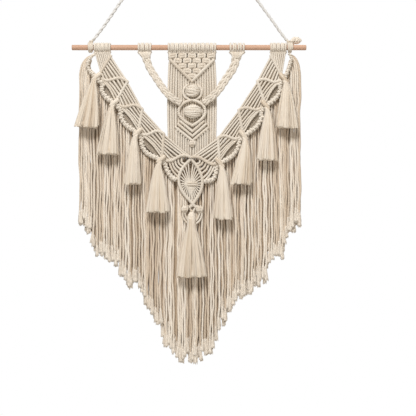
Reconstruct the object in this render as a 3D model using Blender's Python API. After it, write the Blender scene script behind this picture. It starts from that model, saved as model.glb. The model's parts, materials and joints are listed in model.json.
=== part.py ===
"""A macrame wall hanging: cotton cords knotted on a wooden rod, with a scalloped fringe and nine tassels.

Lengths are in millimetres until a mesh is made. A place on the hanging is given as across (to the right of the
panel's middle line), down (below the rod's axis) and out (from the rod's axis towards the viewer). The frame's
origin is where the hanging cord bears on its wall hook; +Z is up and the front faces -Y.
"""

import math
import random
from collections import namedtuple

import bmesh
import bpy
from mathutils import Vector

MM = 0.001

Place = namedtuple("Place", "across down")
Braid = namedtuple("Braid", "across down out half_width")
Hem = namedtuple("Hem", "across down")
Tassel = namedtuple("Tassel", "top_across top_down foot_across foot_down half_width corner")
Chevron = namedtuple("Chevron", "across down foot")
SideCord = namedtuple("SideCord", "top_across top_down foot_across foot_down")
Shell = namedtuple("Shell", "points faces")

# Rod, hook and hanging cord
ROD_LEFT = -245.0
ROD_RIGHT = 233.0
ROD_RADIUS = 5.5
HOOK_ACROSS = -8.0
HOOK_ABOVE_ROD = 268.5
HANGING_CORD = 6.5
KNOT_HEIGHT = 11.5
KNOT_BALL = 5.0

# Cords and knots
CORD_FILL = 0.7
CORD_DEPTH = 0.7
CORD_WIDTH_MOST = 5.2
BAR_RADIUS = 3.0
BAR_BEADS = 3
BAR_WAIST = 0.85
HEAD_RADIUS = 10.2
HEAD_WAIST = 0.88
HEAD_BORE = 6.3
SEAT = -2.1

# Layers, as distances out from the rod's axis
WING_OUT_TOP = 4.0
WING_OUT_ARCH = 7.0
PANEL_OUT = -2.0
LEAF_OUT = 4.6
TIP_BEHIND = 2.1
SCALLOP_OUT = -2.6
BACK_OUT = -8.4
EDGE_REACH = 5.9
EDGE_BEHIND_LEAF = 4.0

# Wings
CORDS_IN_BAND = 7
CORDS_AT_ROD = 5
BAND_BOW = 2.5
BAR_BOW = 4.0

# Centre panel
NET_ROWS = 5
NET_PITCH = 19.4
NET_FIRST_ROW = 15.8
NET_ROW_STEP = 10.3
NET_KNOT_WIDE = 7.6
NET_KNOT_HIGH = 7.3
KNOT_ALONE = (7.8, 7.6, 3.1, 3.2)
KNOT_BACK = -1.5
KNOT_RIM = 0.6
KNOT_FRONT = 3.6
KNOT_CROWN = 0.66
PANEL_CORDS = 16
PANEL_CORD_PITCH = 6.1
PANEL_CORD_WIDTH = 5.2
PANEL_BULGE = 1.05
PANEL_BOTTOM = 224.0
RING_OUT = 3.4
RING_RADIUS = 2.7
CHEVRON_OUT = 4.4
NET_TIP = 67.5
NET_CORNER = Place(46.0, 22.0)
RING_REACH = 29.0
UPPER_BERRY = 89.0
LOWER_BERRY = 131.0

# The chevrons below the lower berry: where each starts and how far down its point is
CHEVRONS = (Chevron(25, 149.5, 172), Chevron(30, 155, 181.5), Chevron(34, 162, 191))

# Fringe
FRINGE_RADIUS = 2.75
BACK_RADIUS = 3.1
OUTER_RADIUS = 2.2
OUTER_STEP = 0.2
BACK_STRIP_RADIUS = 3.4
ROOT_SHARE = 0.65
FOOT_SHARE = 0.75
EDGE_KNOTS = 20
EDGE_RADIUS = 3.0
FRONT_PITCH = 6.0
BACK_PITCH = 7.6
WAVE = 1.5
DEPTH_WAVE = 0.8
RAGGED = 7.0

# Tassels
SIDE_LOCKS = 8
MIDDLE_LOCKS = 10
LOCK_GAP = 0.07
TASSEL_DEPTH = 10.0

# Where each group of lark's heads starts and ends on the rod, and its number of heads
HEADS = {
    "wing_left": (-199.5, -166.0, 6),
    "braid_left": (-110.0, -83.0, 4),
    "centre_panel": (-49.0, 49.0, 10),
    "braid_right": (77.0, 107.0, 4),
    "wing_right": (159.5, 192.5, 6),
}

# The zigzag of bars in a wing: an inner corner, an outer corner, and so on to the crown of the arch
ZIGZAG = {
    "left": (
        Place(-165, 17), Place(-191, 59), Place(-131, 70), Place(-156, 112), Place(-101, 126),
        Place(-109, 172), Place(-57, 176), Place(-61, 227), Place(-3.4, 223.5),
    ),
    "right": (
        Place(160, 17), Place(185, 62), Place(133, 69), Place(149, 117), Place(95, 128),
        Place(104, 178), Place(53, 184), Place(56, 234), Place(-0.6, 223.5),
    ),
}

# The leaf's two bars, and the cords that run to them from under the arch
LEAF = {
    "left": (
        Place(-2.6, 227.6), Place(-20, 247), Place(-27, 269), Place(-20, 293), Place(2, 319), Place(10, 327),
    ),
    "right": (
        Place(-1.3, 227.7), Place(13, 247), Place(21, 271), Place(17, 294), Place(1.6, 319.4), Place(-6, 327),
    ),
}
LEAF_SIDE_CORDS = {
    "left": (
        SideCord(-47.5, 229.5, -27.5, 265), SideCord(-41, 229, -26, 256), SideCord(-34.5, 228.5, -23, 249),
        SideCord(-28, 228.3, -18.5, 243),
    ),
    "right": (
        SideCord(42, 236, 21.5, 267), SideCord(35.5, 234.5, 18.5, 258), SideCord(29, 233, 15.5, 250),
        SideCord(22.5, 231.5, 10.5, 242.5),
    ),
}
LEAF_FAN = 3
LEAF_CORD = 3.4
LEAF_BOW = 2.0

# The knotted edge: from the rod, one scallop after another down to the leaf
SCALLOPS = {
    "left": (
        (Place(-197, 12.6), Place(-207, 21), Place(-212, 32), Place(-211, 44), Place(-194, 64)),
        (Place(-194, 64), Place(-183, 75), Place(-184, 88), Place(-175, 102), Place(-155, 116)),
        (Place(-155, 116), Place(-146, 128), Place(-145, 140), Place(-136, 157), Place(-110, 175)),
        (Place(-110, 175), Place(-104, 186), Place(-102, 201), Place(-91, 216), Place(-62, 230)),
        (Place(-62, 230), Place(-55, 239), Place(-51, 251), Place(-42, 264), Place(-32, 270)),
    ),
    "right": (
        (Place(196, 12.6), Place(204, 24), Place(203, 38), Place(197, 52), Place(188, 64)),
        (Place(188, 64), Place(179, 75), Place(180, 87), Place(172, 102), Place(150, 120)),
        (Place(150, 120), Place(141, 131), Place(142, 143), Place(132, 161), Place(106, 181)),
        (Place(106, 181), Place(97, 191), Place(95, 203), Place(84, 220), Place(60, 235)),
        (Place(60, 235), Place(52, 243), Place(49, 256), Place(43, 269), Place(26, 273)),
    ),
}

# Outer fringe cords leave the knotted edge here and swing out before they fall
OUTER_CORDS = {
    "left": ((Place(-200.5, 16.8), -229.0), (Place(-206.5, 21.2), -223.4), (Place(-210.3, 27.5), -217.8)),
    "right": ((Place(198.3, 17.2), 220.0), (Place(202, 22), 214.8), (Place(204, 28), 209.6)),
}
OUTER_DROP = 62.0

# The centre fringe's short bar: where it starts and ends across, and how far down it is
CENTRE_STRIP = (-30.0, 23.5)
CENTRE_STRIP_DOWN = 336.0

# The strip of the back layer, from the rod's left end round to its right end, and its outer cords
BACK_STRIP = (
    Place(-203, 22), Place(-191, 59), Place(-156, 112), Place(-109, 172), Place(-60, 226), Place(56, 231),
    Place(104, 178), Place(149, 117), Place(185, 62), Place(196, 22),
)
BACK_OUTER_CORDS = (
    (Place(-203, 23), -227.0), (Place(-200.7, 32), -220.0), (Place(-198.4, 41), -213.0),
    (Place(196, 23), 218.5), (Place(193.7, 32), 211.5), (Place(191.4, 41), 204.5),
)

# The lowest reach of the fringe across the hanging
HEMLINE = (
    Hem(-232, 362), Hem(-204, 392), Hem(-196, 432), Hem(-160, 444), Hem(-130, 494), Hem(-104, 504),
    Hem(-76, 562), Hem(-62, 588), Hem(-57, 622), Hem(-14, 648), Hem(16, 648), Hem(42, 628), Hem(47, 598),
    Hem(66, 566), Hem(72, 546), Hem(120, 508), Hem(150, 480), Hem(156, 450), Hem(182, 438), Hem(191, 396),
    Hem(224, 362),
)

# Each tassel's top, the middle of its foot, half its width there, and the zigzag corner that carries it
TASSELS = (
    Tassel(-193, 60, -214, 165, 26, 1), Tassel(-157, 113, -172, 221, 23, 3),
    Tassel(-110, 173, -121, 282, 18, 5), Tassel(-62, 228, -70, 339, 24, 7),
    Tassel(186, 63, 193, 168, 24, 1), Tassel(149, 118, 152, 233, 21, 3),
    Tassel(104, 179, 100, 281, 22, 5), Tassel(56, 235, 63, 352, 20, 7),
)
SIDE_HEAD = (5.0, 14.0)
SIDE_FOOT_FORWARD = 2.5
MIDDLE_TASSEL = Tassel(-1, 341.2, 0, 470, 31, 0)
MIDDLE_HEAD = (8.0, 26.0)
MIDDLE_OUT = 9.0
MIDDLE_FOOT_OUT = 15.0

BRAIDS = {
    "left": (
        Braid(-97, 9, 1, 11), Braid(-93, 22, 3, 6.6), Braid(-86, 42, 4, 6), Braid(-71, 66, 6, 6),
        Braid(-55, 89, 9, 6), Braid(-41, 103, 10.2, 6), Braid(-27, 111, 10.4, 5),
    ),
    "right": (
        Braid(92, 9, 1, 11), Braid(90, 22, 3, 7), Braid(84, 42, 4, 7), Braid(69, 65, 6, 7),
        Braid(55, 86, 9, 7), Braid(41, 101, 10.2, 7), Braid(28, 110, 10.4, 5),
    ),
}
BRAID_DEPTH = 3.6
BRAID_BEADS = 9

# The hanging cord's route from the left knot over the hook to the right knot
HANGING_ROUTE = (
    Place(-201.9, -14.9), Place(-187, -33.5), Place(-171, -56), Place(-143, -97), Place(-114, -138),
    Place(-86, -179), Place(-57, -219), Place(-36, -249), Place(-23, -264), Place(-8, -271.7),
    Place(7, -264), Place(20, -250), Place(41, -222), Place(69, -184), Place(100, -142), Place(133, -97),
    Place(163, -56), Place(179, -33.5), Place(193.1, -14.9),
)


def at(across, down, out=0.0):
    """A place on the hanging as a point of the frame, in millimetres."""
    return Vector((across - HOOK_ACROSS, -out, -HOOK_ABOVE_ROD - down))


def smooth(points, steps):
    """Points along a smooth curve through the given ones, with so many steps in each span."""
    padded = [2 * points[0] - points[1], *points, 2 * points[-1] - points[-2]]
    curve = []
    for a, b, c, d in zip(padded, padded[1:], padded[2:], padded[3:]):
        for step in range(steps):
            t = step / steps
            curve.append(
                0.5 * (2 * b + (c - a) * t + (2 * a - 5 * b + 4 * c - d) * t**2 + (3 * b - a - 3 * c + d) * t**3)
            )
    return curve + [points[-1].copy()]


def evenly(points, count):
    """So many points at equal distances along a path."""
    lengths = [0.0]
    for a, b in zip(points, points[1:]):
        lengths.append(lengths[-1] + (b - a).length)
    spaced = []
    span = 1
    for index in range(count):
        target = lengths[-1] * index / (count - 1)
        while span < len(lengths) - 1 and lengths[span] < target:
            span += 1
        part = (target - lengths[span - 1]) / (lengths[span] - lengths[span - 1])
        spaced.append(points[span - 1].lerp(points[span], part))
    return spaced


def tube(path, wide, deep=None, sides=6, turn=0.0):
    """A closed tube along a path. Its half width and half depth may change from point to point."""
    wides = wide if isinstance(wide, list) else [wide] * len(path)
    deeps = wides if deep is None else deep if isinstance(deep, list) else [deep] * len(path)
    front = Vector((0, -1, 0))
    points = []
    for index, place in enumerate(path):
        along = (path[min(index + 1, len(path) - 1)] - path[max(index - 1, 0)]).normalized()
        across = along.cross(front).normalized()
        forward = across.cross(along)
        for side in range(sides):
            angle = math.radians(turn) + math.tau * side / sides
            points.append(
                place + across * wides[index] * math.cos(angle) + forward * deeps[index] * math.sin(angle)
            )
    faces = [tuple(range(sides)), tuple(reversed(range(len(points) - sides, len(points))))]
    for ring in range(len(path) - 1):
        for side in range(sides):
            a = ring * sides + side
            b = ring * sides + (side + 1) % sides
            faces.append((a, a + sides, b + sides, b))
    return Shell(points, faces)


def bar(places, beads=BAR_BEADS, radius=BAR_RADIUS, sides=5):
    """A row of half hitches: a tube that swells at each knot."""
    path = evenly(smooth(places, 4) if len(places) > 2 else places, 2 * beads + 1)
    radii = [radius * (1 if index % 2 else BAR_WAIST) for index in range(len(path))]
    return tube(path, radii, sides=sides, turn=20)


def cord(places, width):
    """A three-sided length of cord with its ridge to the front."""
    radius = width / 2 / math.cos(math.radians(30))
    return tube(places, radius, CORD_DEPTH * radius, sides=3, turn=90)


def pillow_outline(half_width, half_height, corner_x, corner_z):
    """The eight corners of a square knot."""
    return (
        (half_width, corner_z), (corner_x, half_height), (-corner_x, half_height), (-half_width, corner_z),
        (-half_width, -corner_z), (-corner_x, -half_height), (corner_x, -half_height), (half_width, -corner_z),
    )


def pillow(centre):
    """A square knot on its own: an eight-sided cushion that stands out most in its middle."""
    outline = pillow_outline(*KNOT_ALONE)
    points = []
    for share, out in ((1.0, KNOT_BACK), (KNOT_CROWN, KNOT_FRONT)):
        points += [centre + Vector((x * share, -out, z * share)) for x, z in outline]
    sides = len(outline)
    faces = [tuple(range(sides)), tuple(reversed(range(sides, 2 * sides)))]
    for side in range(sides):
        following = (side + 1) % sides
        faces.append((side, following, following + sides, side + sides))
    return Shell(points, faces)


def net():
    """Square knots joined at their corners into one sheet, with a hole between each four."""
    narrow, low = NET_PITCH / 2 - NET_KNOT_WIDE, NET_ROW_STEP - NET_KNOT_HIGH
    outline = pillow_outline(NET_KNOT_WIDE, NET_KNOT_HIGH, narrow, low)
    sides = len(outline)
    points, numbers, faces, walls = [], {}, [], []

    def corner(centre, x, z, out):
        spot = centre + Vector((x, -out, z))
        key = tuple(round(value, 2) for value in spot)
        if key not in numbers:
            numbers[key] = len(points)
            points.append(spot)
        return numbers[key]

    for row in range(NET_ROWS):
        count = NET_ROWS - row
        for number in range(count):
            centre = at(NET_PITCH * (number - (count - 1) / 2), NET_FIRST_ROW + NET_ROW_STEP * row)
            back = [corner(centre, x, z, KNOT_BACK) for x, z in outline]
            rim = [corner(centre, x, z, KNOT_RIM) for x, z in outline]
            crown = [corner(centre, x * KNOT_CROWN, z * KNOT_CROWN, KNOT_FRONT) for x, z in outline]
            faces += [tuple(back), tuple(reversed(crown))]
            for side in range(sides):
                following = (side + 1) % sides
                faces.append((rim[side], rim[following], crown[following], crown[side]))
                walls.append((back[side], back[following], rim[following], rim[side]))
    shared = [frozenset(wall) for wall in walls]
    faces += [wall for wall, key in zip(walls, shared) if shared.count(key) == 1]
    return Shell(points, faces)


def ball(centre, half_sizes, detail=1):
    """A low round ball, squashed to its half sizes along X, Y and Z."""
    shape = bmesh.new()
    bmesh.ops.create_icosphere(shape, subdivisions=detail, radius=1.0)
    points = [centre + Vector(x * size for x, size in zip(vertex.co, half_sizes)) for vertex in shape.verts]
    faces = [tuple(vertex.index for vertex in face.verts) for face in shape.faces]
    shape.free()
    return Shell(points, faces)


def sleeve(start, end, heads, radius=HEAD_RADIUS, bore=HEAD_BORE, sides=8):
    """A row of lark's heads round the rod: a ridged ring with a bore that clears the rod."""
    points = []
    stations = 2 * heads + 1
    turn = math.pi / sides

    def ring(across, size):
        for side in range(sides):
            angle = turn + math.tau * side / sides
            points.append(at(across, size * math.cos(angle), size * math.sin(angle)))

    for index in range(stations):
        across = start + (end - start) * index / (stations - 1)
        ring(across, radius * (1 if index % 2 else HEAD_WAIST))
    ring(end, bore)
    ring(start, bore)
    faces = []
    rings = stations + 2
    for index in range(rings):
        for side in range(sides):
            following = (side + 1) % sides
            a, b = index * sides, (index + 1) % rings * sides
            faces.append((a + side, a + following, b + following, b + side))
    return Shell(points, faces)


def together(shells):
    """Several shells that don't touch, as one."""
    points, faces = [], []
    for shell in shells:
        faces += [tuple(corner + len(points) for corner in face) for face in shell.faces]
        points += shell.points
    return Shell(points, faces)


def shell_object(name, shell):
    """A mesh object in metres from a shell in millimetres, with its faces pointing out."""
    mesh = bpy.data.meshes.new(name)
    mesh.from_pydata([point * MM for point in shell.points], [], shell.faces)
    shape = bmesh.new()
    shape.from_mesh(mesh)
    bmesh.ops.recalc_face_normals(shape, faces=shape.faces)
    shape.to_mesh(mesh)
    shape.free()
    thing = bpy.data.objects.new(name, mesh)
    bpy.context.scene.collection.objects.link(thing)
    return thing


def finish(name, colour, roughness):
    """A Principled material of one colour."""
    material = bpy.data.materials.new(name)
    material.use_nodes = True
    shader = material.node_tree.nodes["Principled BSDF"]
    shader.inputs["Base Color"].default_value = (*colour, 1)
    shader.inputs["Roughness"].default_value = roughness
    return material


def solid(name, material, *shells):
    """One closed object: the shells joined by Boolean unions."""
    thing = shell_object(name, shells[0])
    for shell in shells[1:]:
        other = shell_object(name + "_piece", shell)
        union = thing.modifiers.new("union", "BOOLEAN")
        union.operation = "UNION"
        union.solver = "EXACT"
        union.use_self = True
        union.object = other
        joined = bpy.data.meshes.new_from_object(thing.evaluated_get(bpy.context.evaluated_depsgraph_get()))
        thing.modifiers.clear()
        thing.data = joined
        bpy.data.objects.remove(other)
    thing.data.name = name
    thing.data.materials.clear()
    thing.data.materials.append(material)
    return thing


def make_rod(material):
    """The round rod with eased ends."""
    path = [at(x, 0) for x in (ROD_LEFT, ROD_LEFT + 1, ROD_RIGHT - 1, ROD_RIGHT)]
    rod = solid("rod", material, tube(path, [ROD_RADIUS - 1, ROD_RADIUS, ROD_RADIUS, ROD_RADIUS - 1], sides=24))
    rod.data.shade_smooth()
    rod.data.set_sharp_from_angle(angle=math.radians(40))


def make_hanging_cord(material):
    """The cord from knot to knot over the hook."""
    route = smooth([at(place.across, place.down) for place in HANGING_ROUTE], 3)
    spline_points = evenly(route, 38)
    curve = bpy.data.curves.new("hanging_cord", "CURVE")
    curve.dimensions = "3D"
    curve.bevel_depth = HANGING_CORD / 2 * MM
    curve.bevel_resolution = 2
    curve.use_fill_caps = True
    spline = curve.splines.new("POLY")
    spline.points.add(len(spline_points) - 1)
    for target, place in zip(spline.points, spline_points):
        target.co = (*(place * MM), 1)
    curve.materials.append(material)
    bpy.context.scene.collection.objects.link(bpy.data.objects.new("hanging_cord", curve))


def make_cord_knots(material):
    """The hanging cord's hitches at both ends of the rod, and its frayed tail at the right."""
    for name, start, end, ball_across in (
        ("cord_knot_left", -213.0, -200.3, -205.6),
        ("cord_knot_right", 193.3, 206.6, 197.2),
    ):
        hitch = ball(at(ball_across, -KNOT_HEIGHT), (KNOT_BALL, KNOT_BALL, KNOT_BALL))
        solid(name, material, sleeve(start, end, 2, radius=HEAD_RADIUS + 0.3), hitch)
    tail = 7.5
    solid("cord_tail", material, ball(at(211.6, -13.5, -4), (tail, tail, tail)))


def wing_out(corner):
    """How far out a zigzag corner of a wing lies."""
    return WING_OUT_TOP + (WING_OUT_ARCH - WING_OUT_TOP) * corner / 8


def zigzag_place(corners, index, share):
    """A place on a wing's bar from one corner to the next, which bows up where it runs across."""
    a, b = corners[index], corners[index + 1]
    level = abs(b.across - a.across) > 1.5 * abs(b.down - a.down)
    bow = BAR_BOW * 4 * share * (1 - share) if level else 0.0
    return at(
        a.across + (b.across - a.across) * share,
        a.down + (b.down - a.down) * share - bow,
        wing_out(index) + (wing_out(index + 1) - wing_out(index)) * share,
    )


def make_wing(side, material):
    """A band of cords crossed by a zigzag of bars, from the lark's heads on the rod to the arch."""
    corners = ZIGZAG[side]
    name = "wing_" + side
    start, end, heads = HEADS[name]
    bars = [
        bar([zigzag_place(corners, index, share / 4) for share in range(5)]) for index in range(len(corners) - 1)
    ]
    behind = Vector((0, 0.4, 0))
    outward = Vector((-1 if side == "left" else 1, 0, -0.5))
    groups = [[], [], [], []]
    for index in range(len(corners) - 2):
        edge_start, edge_end = zigzag_place(corners, index, 0), zigzag_place(corners, index + 1, 1)
        along = (edge_end - edge_start).normalized()
        corner = zigzag_place(corners, index, 1) - edge_start
        reach = (corner - along * corner.dot(along)).length
        width = min(CORD_WIDTH_MOST, CORD_FILL * reach / CORDS_IN_BAND)
        for number in range(2, CORDS_IN_BAND + 1):
            share = number / CORDS_IN_BAND
            upper = zigzag_place(corners, index, 1 - share) + behind
            lower = zigzag_place(corners, index + 1, share) + behind
            path = [upper, lower]
            if index % 2 and number > CORDS_IN_BAND / 2:
                path.insert(1, upper.lerp(lower, 0.5) + outward * BAND_BOW * (2 * share - 1))
            groups[index % 4].append(cord(path, width))
    inner, outer = (end, start) if side == "left" else (start, end)
    for number in range(1, CORDS_AT_ROD + 1):
        share = number / (CORDS_AT_ROD + 1)
        across = inner + (outer - inner) * share
        groups[1].append(cord([at(across, 7.9, 4.6), zigzag_place(corners, 0, share) + behind], 0.8 * CORD_WIDTH_MOST))
    solid(name, material, sleeve(start, end, heads), together(bars[0::2]), together(bars[1::2]),
          *[together(group) for group in groups])


def make_centre_panel(material):
    """The panel: heads, net, V, cords, two berries, a ring and three chevrons."""
    start, end, heads = HEADS["centre_panel"]
    v_left = bar([at(-NET_CORNER.across, NET_CORNER.down, 1.2), at(0.6, NET_TIP, 1.2)], 5, 3.3)
    v_right = bar([at(NET_CORNER.across, NET_CORNER.down, 1.3), at(-0.4, NET_TIP - 0.2, 1.3)], 5, 3.3)
    cords = []
    for number in range(PANEL_CORDS):
        across = PANEL_CORD_PITCH * (number - (PANEL_CORDS - 1) / 2)
        top = NET_TIP - (NET_TIP - NET_CORNER.down) * abs(across) / NET_CORNER.across
        path = [at(across, top, PANEL_OUT), at(across, PANEL_BOTTOM, PANEL_OUT)]
        if abs(across) > RING_REACH:
            path.insert(1, at(across * PANEL_BULGE, top + 60, PANEL_OUT))
        cords.append(cord(path, PANEL_CORD_WIDTH))
    upper_berry = ball(at(1, UPPER_BERRY, 4), (15, 8.5, 12.3), detail=2)
    lower_berry = ball(at(2, LOWER_BERRY, 5), (18, 9.5, 13.6), detail=2)
    ring_left = bar([
        at(0, 107, 2.5), at(-16, 113, RING_OUT), at(-26, 124, RING_OUT), at(-27, 135, RING_OUT), at(-22, 148, 2.2),
    ], 4, RING_RADIUS)
    ring_right = bar([
        at(1, 107, 2.3), at(17, 113, RING_OUT), at(27, 124, RING_OUT), at(28, 135, RING_OUT), at(23, 148, 2.2),
    ], 4, RING_RADIUS)
    arms = [
        bar([at(-19, 96, 1.2), at(-5, 106, 1.6)], 2, RING_RADIUS),
        bar([at(19, 96, 1.2), at(6, 106, 1.6)], 2, RING_RADIUS),
    ]
    lefts, rights = [], []
    for chevron in CHEVRONS:
        lefts.append(bar([at(-chevron.across, chevron.down, 1.2), at(1.5, chevron.foot, CHEVRON_OUT)], 3, 2.9))
        rights.append(bar([at(chevron.across, chevron.down, 1.3), at(0.2, chevron.foot - 0.3, CHEVRON_OUT)], 3, 2.9))
    solid(
        "centre_panel", material,
        sleeve(start, end, heads), net(), v_left, v_right,
        together(cords), together([upper_berry, lower_berry]), ring_left, ring_right,
        together(arms), together(lefts), together(rights),
    )


def make_braid(side, material):
    """A braid from its own lark's heads to the ring in the panel."""
    name = "braid_" + side
    start, end, heads = HEADS[name]
    stations = BRAIDS[side]
    path = evenly(smooth([at(one.across, one.down, one.out) for one in stations], 4), 2 * BRAID_BEADS + 1)
    widths = []
    for index in range(len(path)):
        place = index / (len(path) - 1) * (len(stations) - 1)
        low = min(int(place), len(stations) - 2)
        width = stations[low].half_width + (stations[low + 1].half_width - stations[low].half_width) * (place - low)
        widths.append(width * (1 if index % 2 else BAR_WAIST))
    depths = [BRAID_DEPTH * (1 if index % 2 else BAR_WAIST) for index in range(len(path))]
    solid(name, material, sleeve(start, end, heads), tube(path, widths, depths, sides=5, turn=18))


def make_leaf_motif(material):
    """The pointed leaf of two bars, with cords gathered by a wrap and three knots at its tip."""
    outlines = [[at(place.across, place.down, LEAF_OUT) for place in LEAF[side]] for side in ("left", "right")]
    wrap = bar([at(-13, 279, LEAF_OUT + 1), at(15, 278, LEAF_OUT + 1)], 3)
    back = Vector((0, 0.5, 0))
    fans = [[], []]
    sides = []
    for toward, outline, side in zip((-1, 1), outlines, ("left", "right")):
        curve = evenly(smooth(outline, 4), 2 * LEAF_FAN + 5)
        for number in range(1, LEAF_FAN + 1):
            gather = at(1 + toward * (1.8 + 2.9 * (number - 1)), 277.5, LEAF_OUT)
            fans[0].append(cord([curve[number + 1] + back, gather], LEAF_CORD))
            fans[1].append(cord([gather - Vector((0, 0, 1.5)), curve[2 * LEAF_FAN + 3 - number] + back], LEAF_CORD))
        for one in LEAF_SIDE_CORDS[side]:
            top, foot = at(one.top_across, one.top_down, LEAF_OUT), at(one.foot_across, one.foot_down, LEAF_OUT)
            sides.append(cord([top, top.lerp(foot, 0.6) + Vector((toward * LEAF_BOW, 0, 0)), foot], LEAF_CORD))
    knots = [pillow(at(across, 326, LEAF_OUT - TIP_BEHIND)) for across in (-9, 12)]
    tip = pillow(at(1.5, 334, LEAF_OUT - TIP_BEHIND - 0.1))
    solid(
        "leaf_motif", material,
        bar(outlines[0], 7), bar(outlines[1], 7), wrap, together(fans[0]), together(fans[1]), together(sides),
        together(knots), tip,
    )


def hem_at(across):
    """How far down the fringe reaches at a place across."""
    for a, b in zip(HEMLINE, HEMLINE[1:]):
        if across <= b.across:
            share = max(0.0, (across - a.across) / (b.across - a.across))
            return a.down + (b.down - a.down) * share
    return HEMLINE[-1].down


def fringe_cord(root, bends, foot_down, out, radius=FRINGE_RADIUS):
    """One fringe cord: from its root through its bends, then straight down with a slow wave to its foot."""
    top = bends[-1] if bends else root
    across, top_down = top.x + HOOK_ACROSS, -top.z - HOOK_ABOVE_ROD
    path = [root, *bends]
    for share in (0.5, 1.0):
        down = top_down + (foot_down - top_down) * share
        sway = WAVE * math.sin(down / 52 + across / 60) * share
        lean = DEPTH_WAVE * math.sin(down / 64 + across / 40) * share
        path.append(at(across + sway, down, out + lean))
    sizes = [radius * ROOT_SHARE] + [radius] * (len(path) - 2) + [radius * FOOT_SHARE]
    return tube(path, sizes, sides=3, turn=90)


def down_on(path, across):
    """The place of a path's lowest point at a place across, or None beyond its ends."""
    found = None
    for a, b in zip(path, path[1:]):
        low, high = sorted((a.x, b.x))
        if low <= across <= high and high > low:
            place = a.lerp(b, (across - a.x) / (b.x - a.x))
            if found is None or place.z < found.z:
                found = place
    return found


def outer_cord(place, fall, foot, out, radius):
    """A fringe cord that swings out from its root on the edge before it falls."""
    bends = []
    for degrees in (35, 90):
        angle = math.radians(degrees)
        bends.append(at(
            place.across + (fall - place.across) * math.sin(angle),
            place.down + OUTER_DROP * (1 - math.cos(angle)), out,
        ))
    return fringe_cord(at(place.across, place.down, out), bends, foot, out, radius)


def make_front_fringe(side, material, chance):
    """A wing's knotted edge of scallops, with the front fringe cords that hang from it."""
    cusps = [SCALLOP_OUT]
    for scallop, corner in zip(SCALLOPS[side], (1, 3, 5, 7)):
        cusp, bars = scallop[-1], ZIGZAG[side][corner]
        beside = math.hypot(cusp.across - bars.across, cusp.down - bars.down)
        cusps.append(wing_out(corner) - math.sqrt(max(EDGE_REACH**2 - beside**2, 0.0)))
    cusps.append(LEAF_OUT - EDGE_BEHIND_LEAF)
    edge = []
    for scallop, start, end in zip(SCALLOPS[side], cusps, cusps[1:]):
        outs = [start] + [SCALLOP_OUT] * (len(scallop) - 2) + [end]
        curve = smooth([at(place.across, place.down, out) for place, out in zip(scallop, outs)], 4)
        edge += curve[1:] if edge else curve
    knotted = evenly(edge, 2 * EDGE_KNOTS + 1)
    radii = [EDGE_RADIUS * (1 if index % 2 else BAR_WAIST) for index in range(len(knotted))]
    low, high = min(place.x for place in edge), max(place.x for place in edge)
    cords = []
    across = low + 2.5
    while across < high - 2.0:
        foot = hem_at(across + HOOK_ACROSS) - RAGGED * chance.random()
        cords.append(fringe_cord(down_on(edge, across), [], foot, SCALLOP_OUT))
        across += FRONT_PITCH
    outer = []
    for number, (place, fall) in enumerate(OUTER_CORDS[side]):
        foot = hem_at(fall) - RAGGED * chance.random()
        outer.append(outer_cord(place, fall, foot, SCALLOP_OUT + OUTER_STEP * number, OUTER_RADIUS))
    solid("fringe_" + side, material, tube(knotted, radii, sides=5, turn=18), together(cords), *outer)


def make_centre_fringe(material, chance):
    """The front fringe cords below the leaf, on a short bar behind its tip."""
    start, end = (at(across, CENTRE_STRIP_DOWN, SCALLOP_OUT) for across in CENTRE_STRIP)
    cords = []
    across = CENTRE_STRIP[0] + 2.5
    while across < CENTRE_STRIP[1] - 2.0:
        foot = hem_at(across) - RAGGED * chance.random()
        cords.append(fringe_cord(at(across, CENTRE_STRIP_DOWN, SCALLOP_OUT), [], foot, SCALLOP_OUT))
        across += FRONT_PITCH
    solid("fringe_centre", material, bar([start, end], 5), together(cords))


def make_back_fringe(material, chance):
    """The back layer of fringe cords on its own strip, behind the wings and the arch."""
    line = [at(place.across, place.down, BACK_OUT) for place in BACK_STRIP]
    strip = tube(line, BACK_STRIP_RADIUS, sides=5, turn=18)
    cords = []
    across = line[0].x + 1.5
    while across < line[-1].x - 1.0:
        foot = hem_at(across + HOOK_ACROSS) - RAGGED * (0.4 + 1.6 * chance.random())
        cords.append(fringe_cord(down_on(line, across), [], foot, BACK_OUT, BACK_RADIUS))
        across += BACK_PITCH
    outer = []
    for place, fall in BACK_OUTER_CORDS:
        foot = hem_at(fall) - RAGGED * (0.4 + 1.6 * chance.random())
        outer.append(outer_cord(place, fall, foot, BACK_OUT, OUTER_RADIUS))
    solid("fringe_back", material, strip, together(cords), together(outer))


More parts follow.
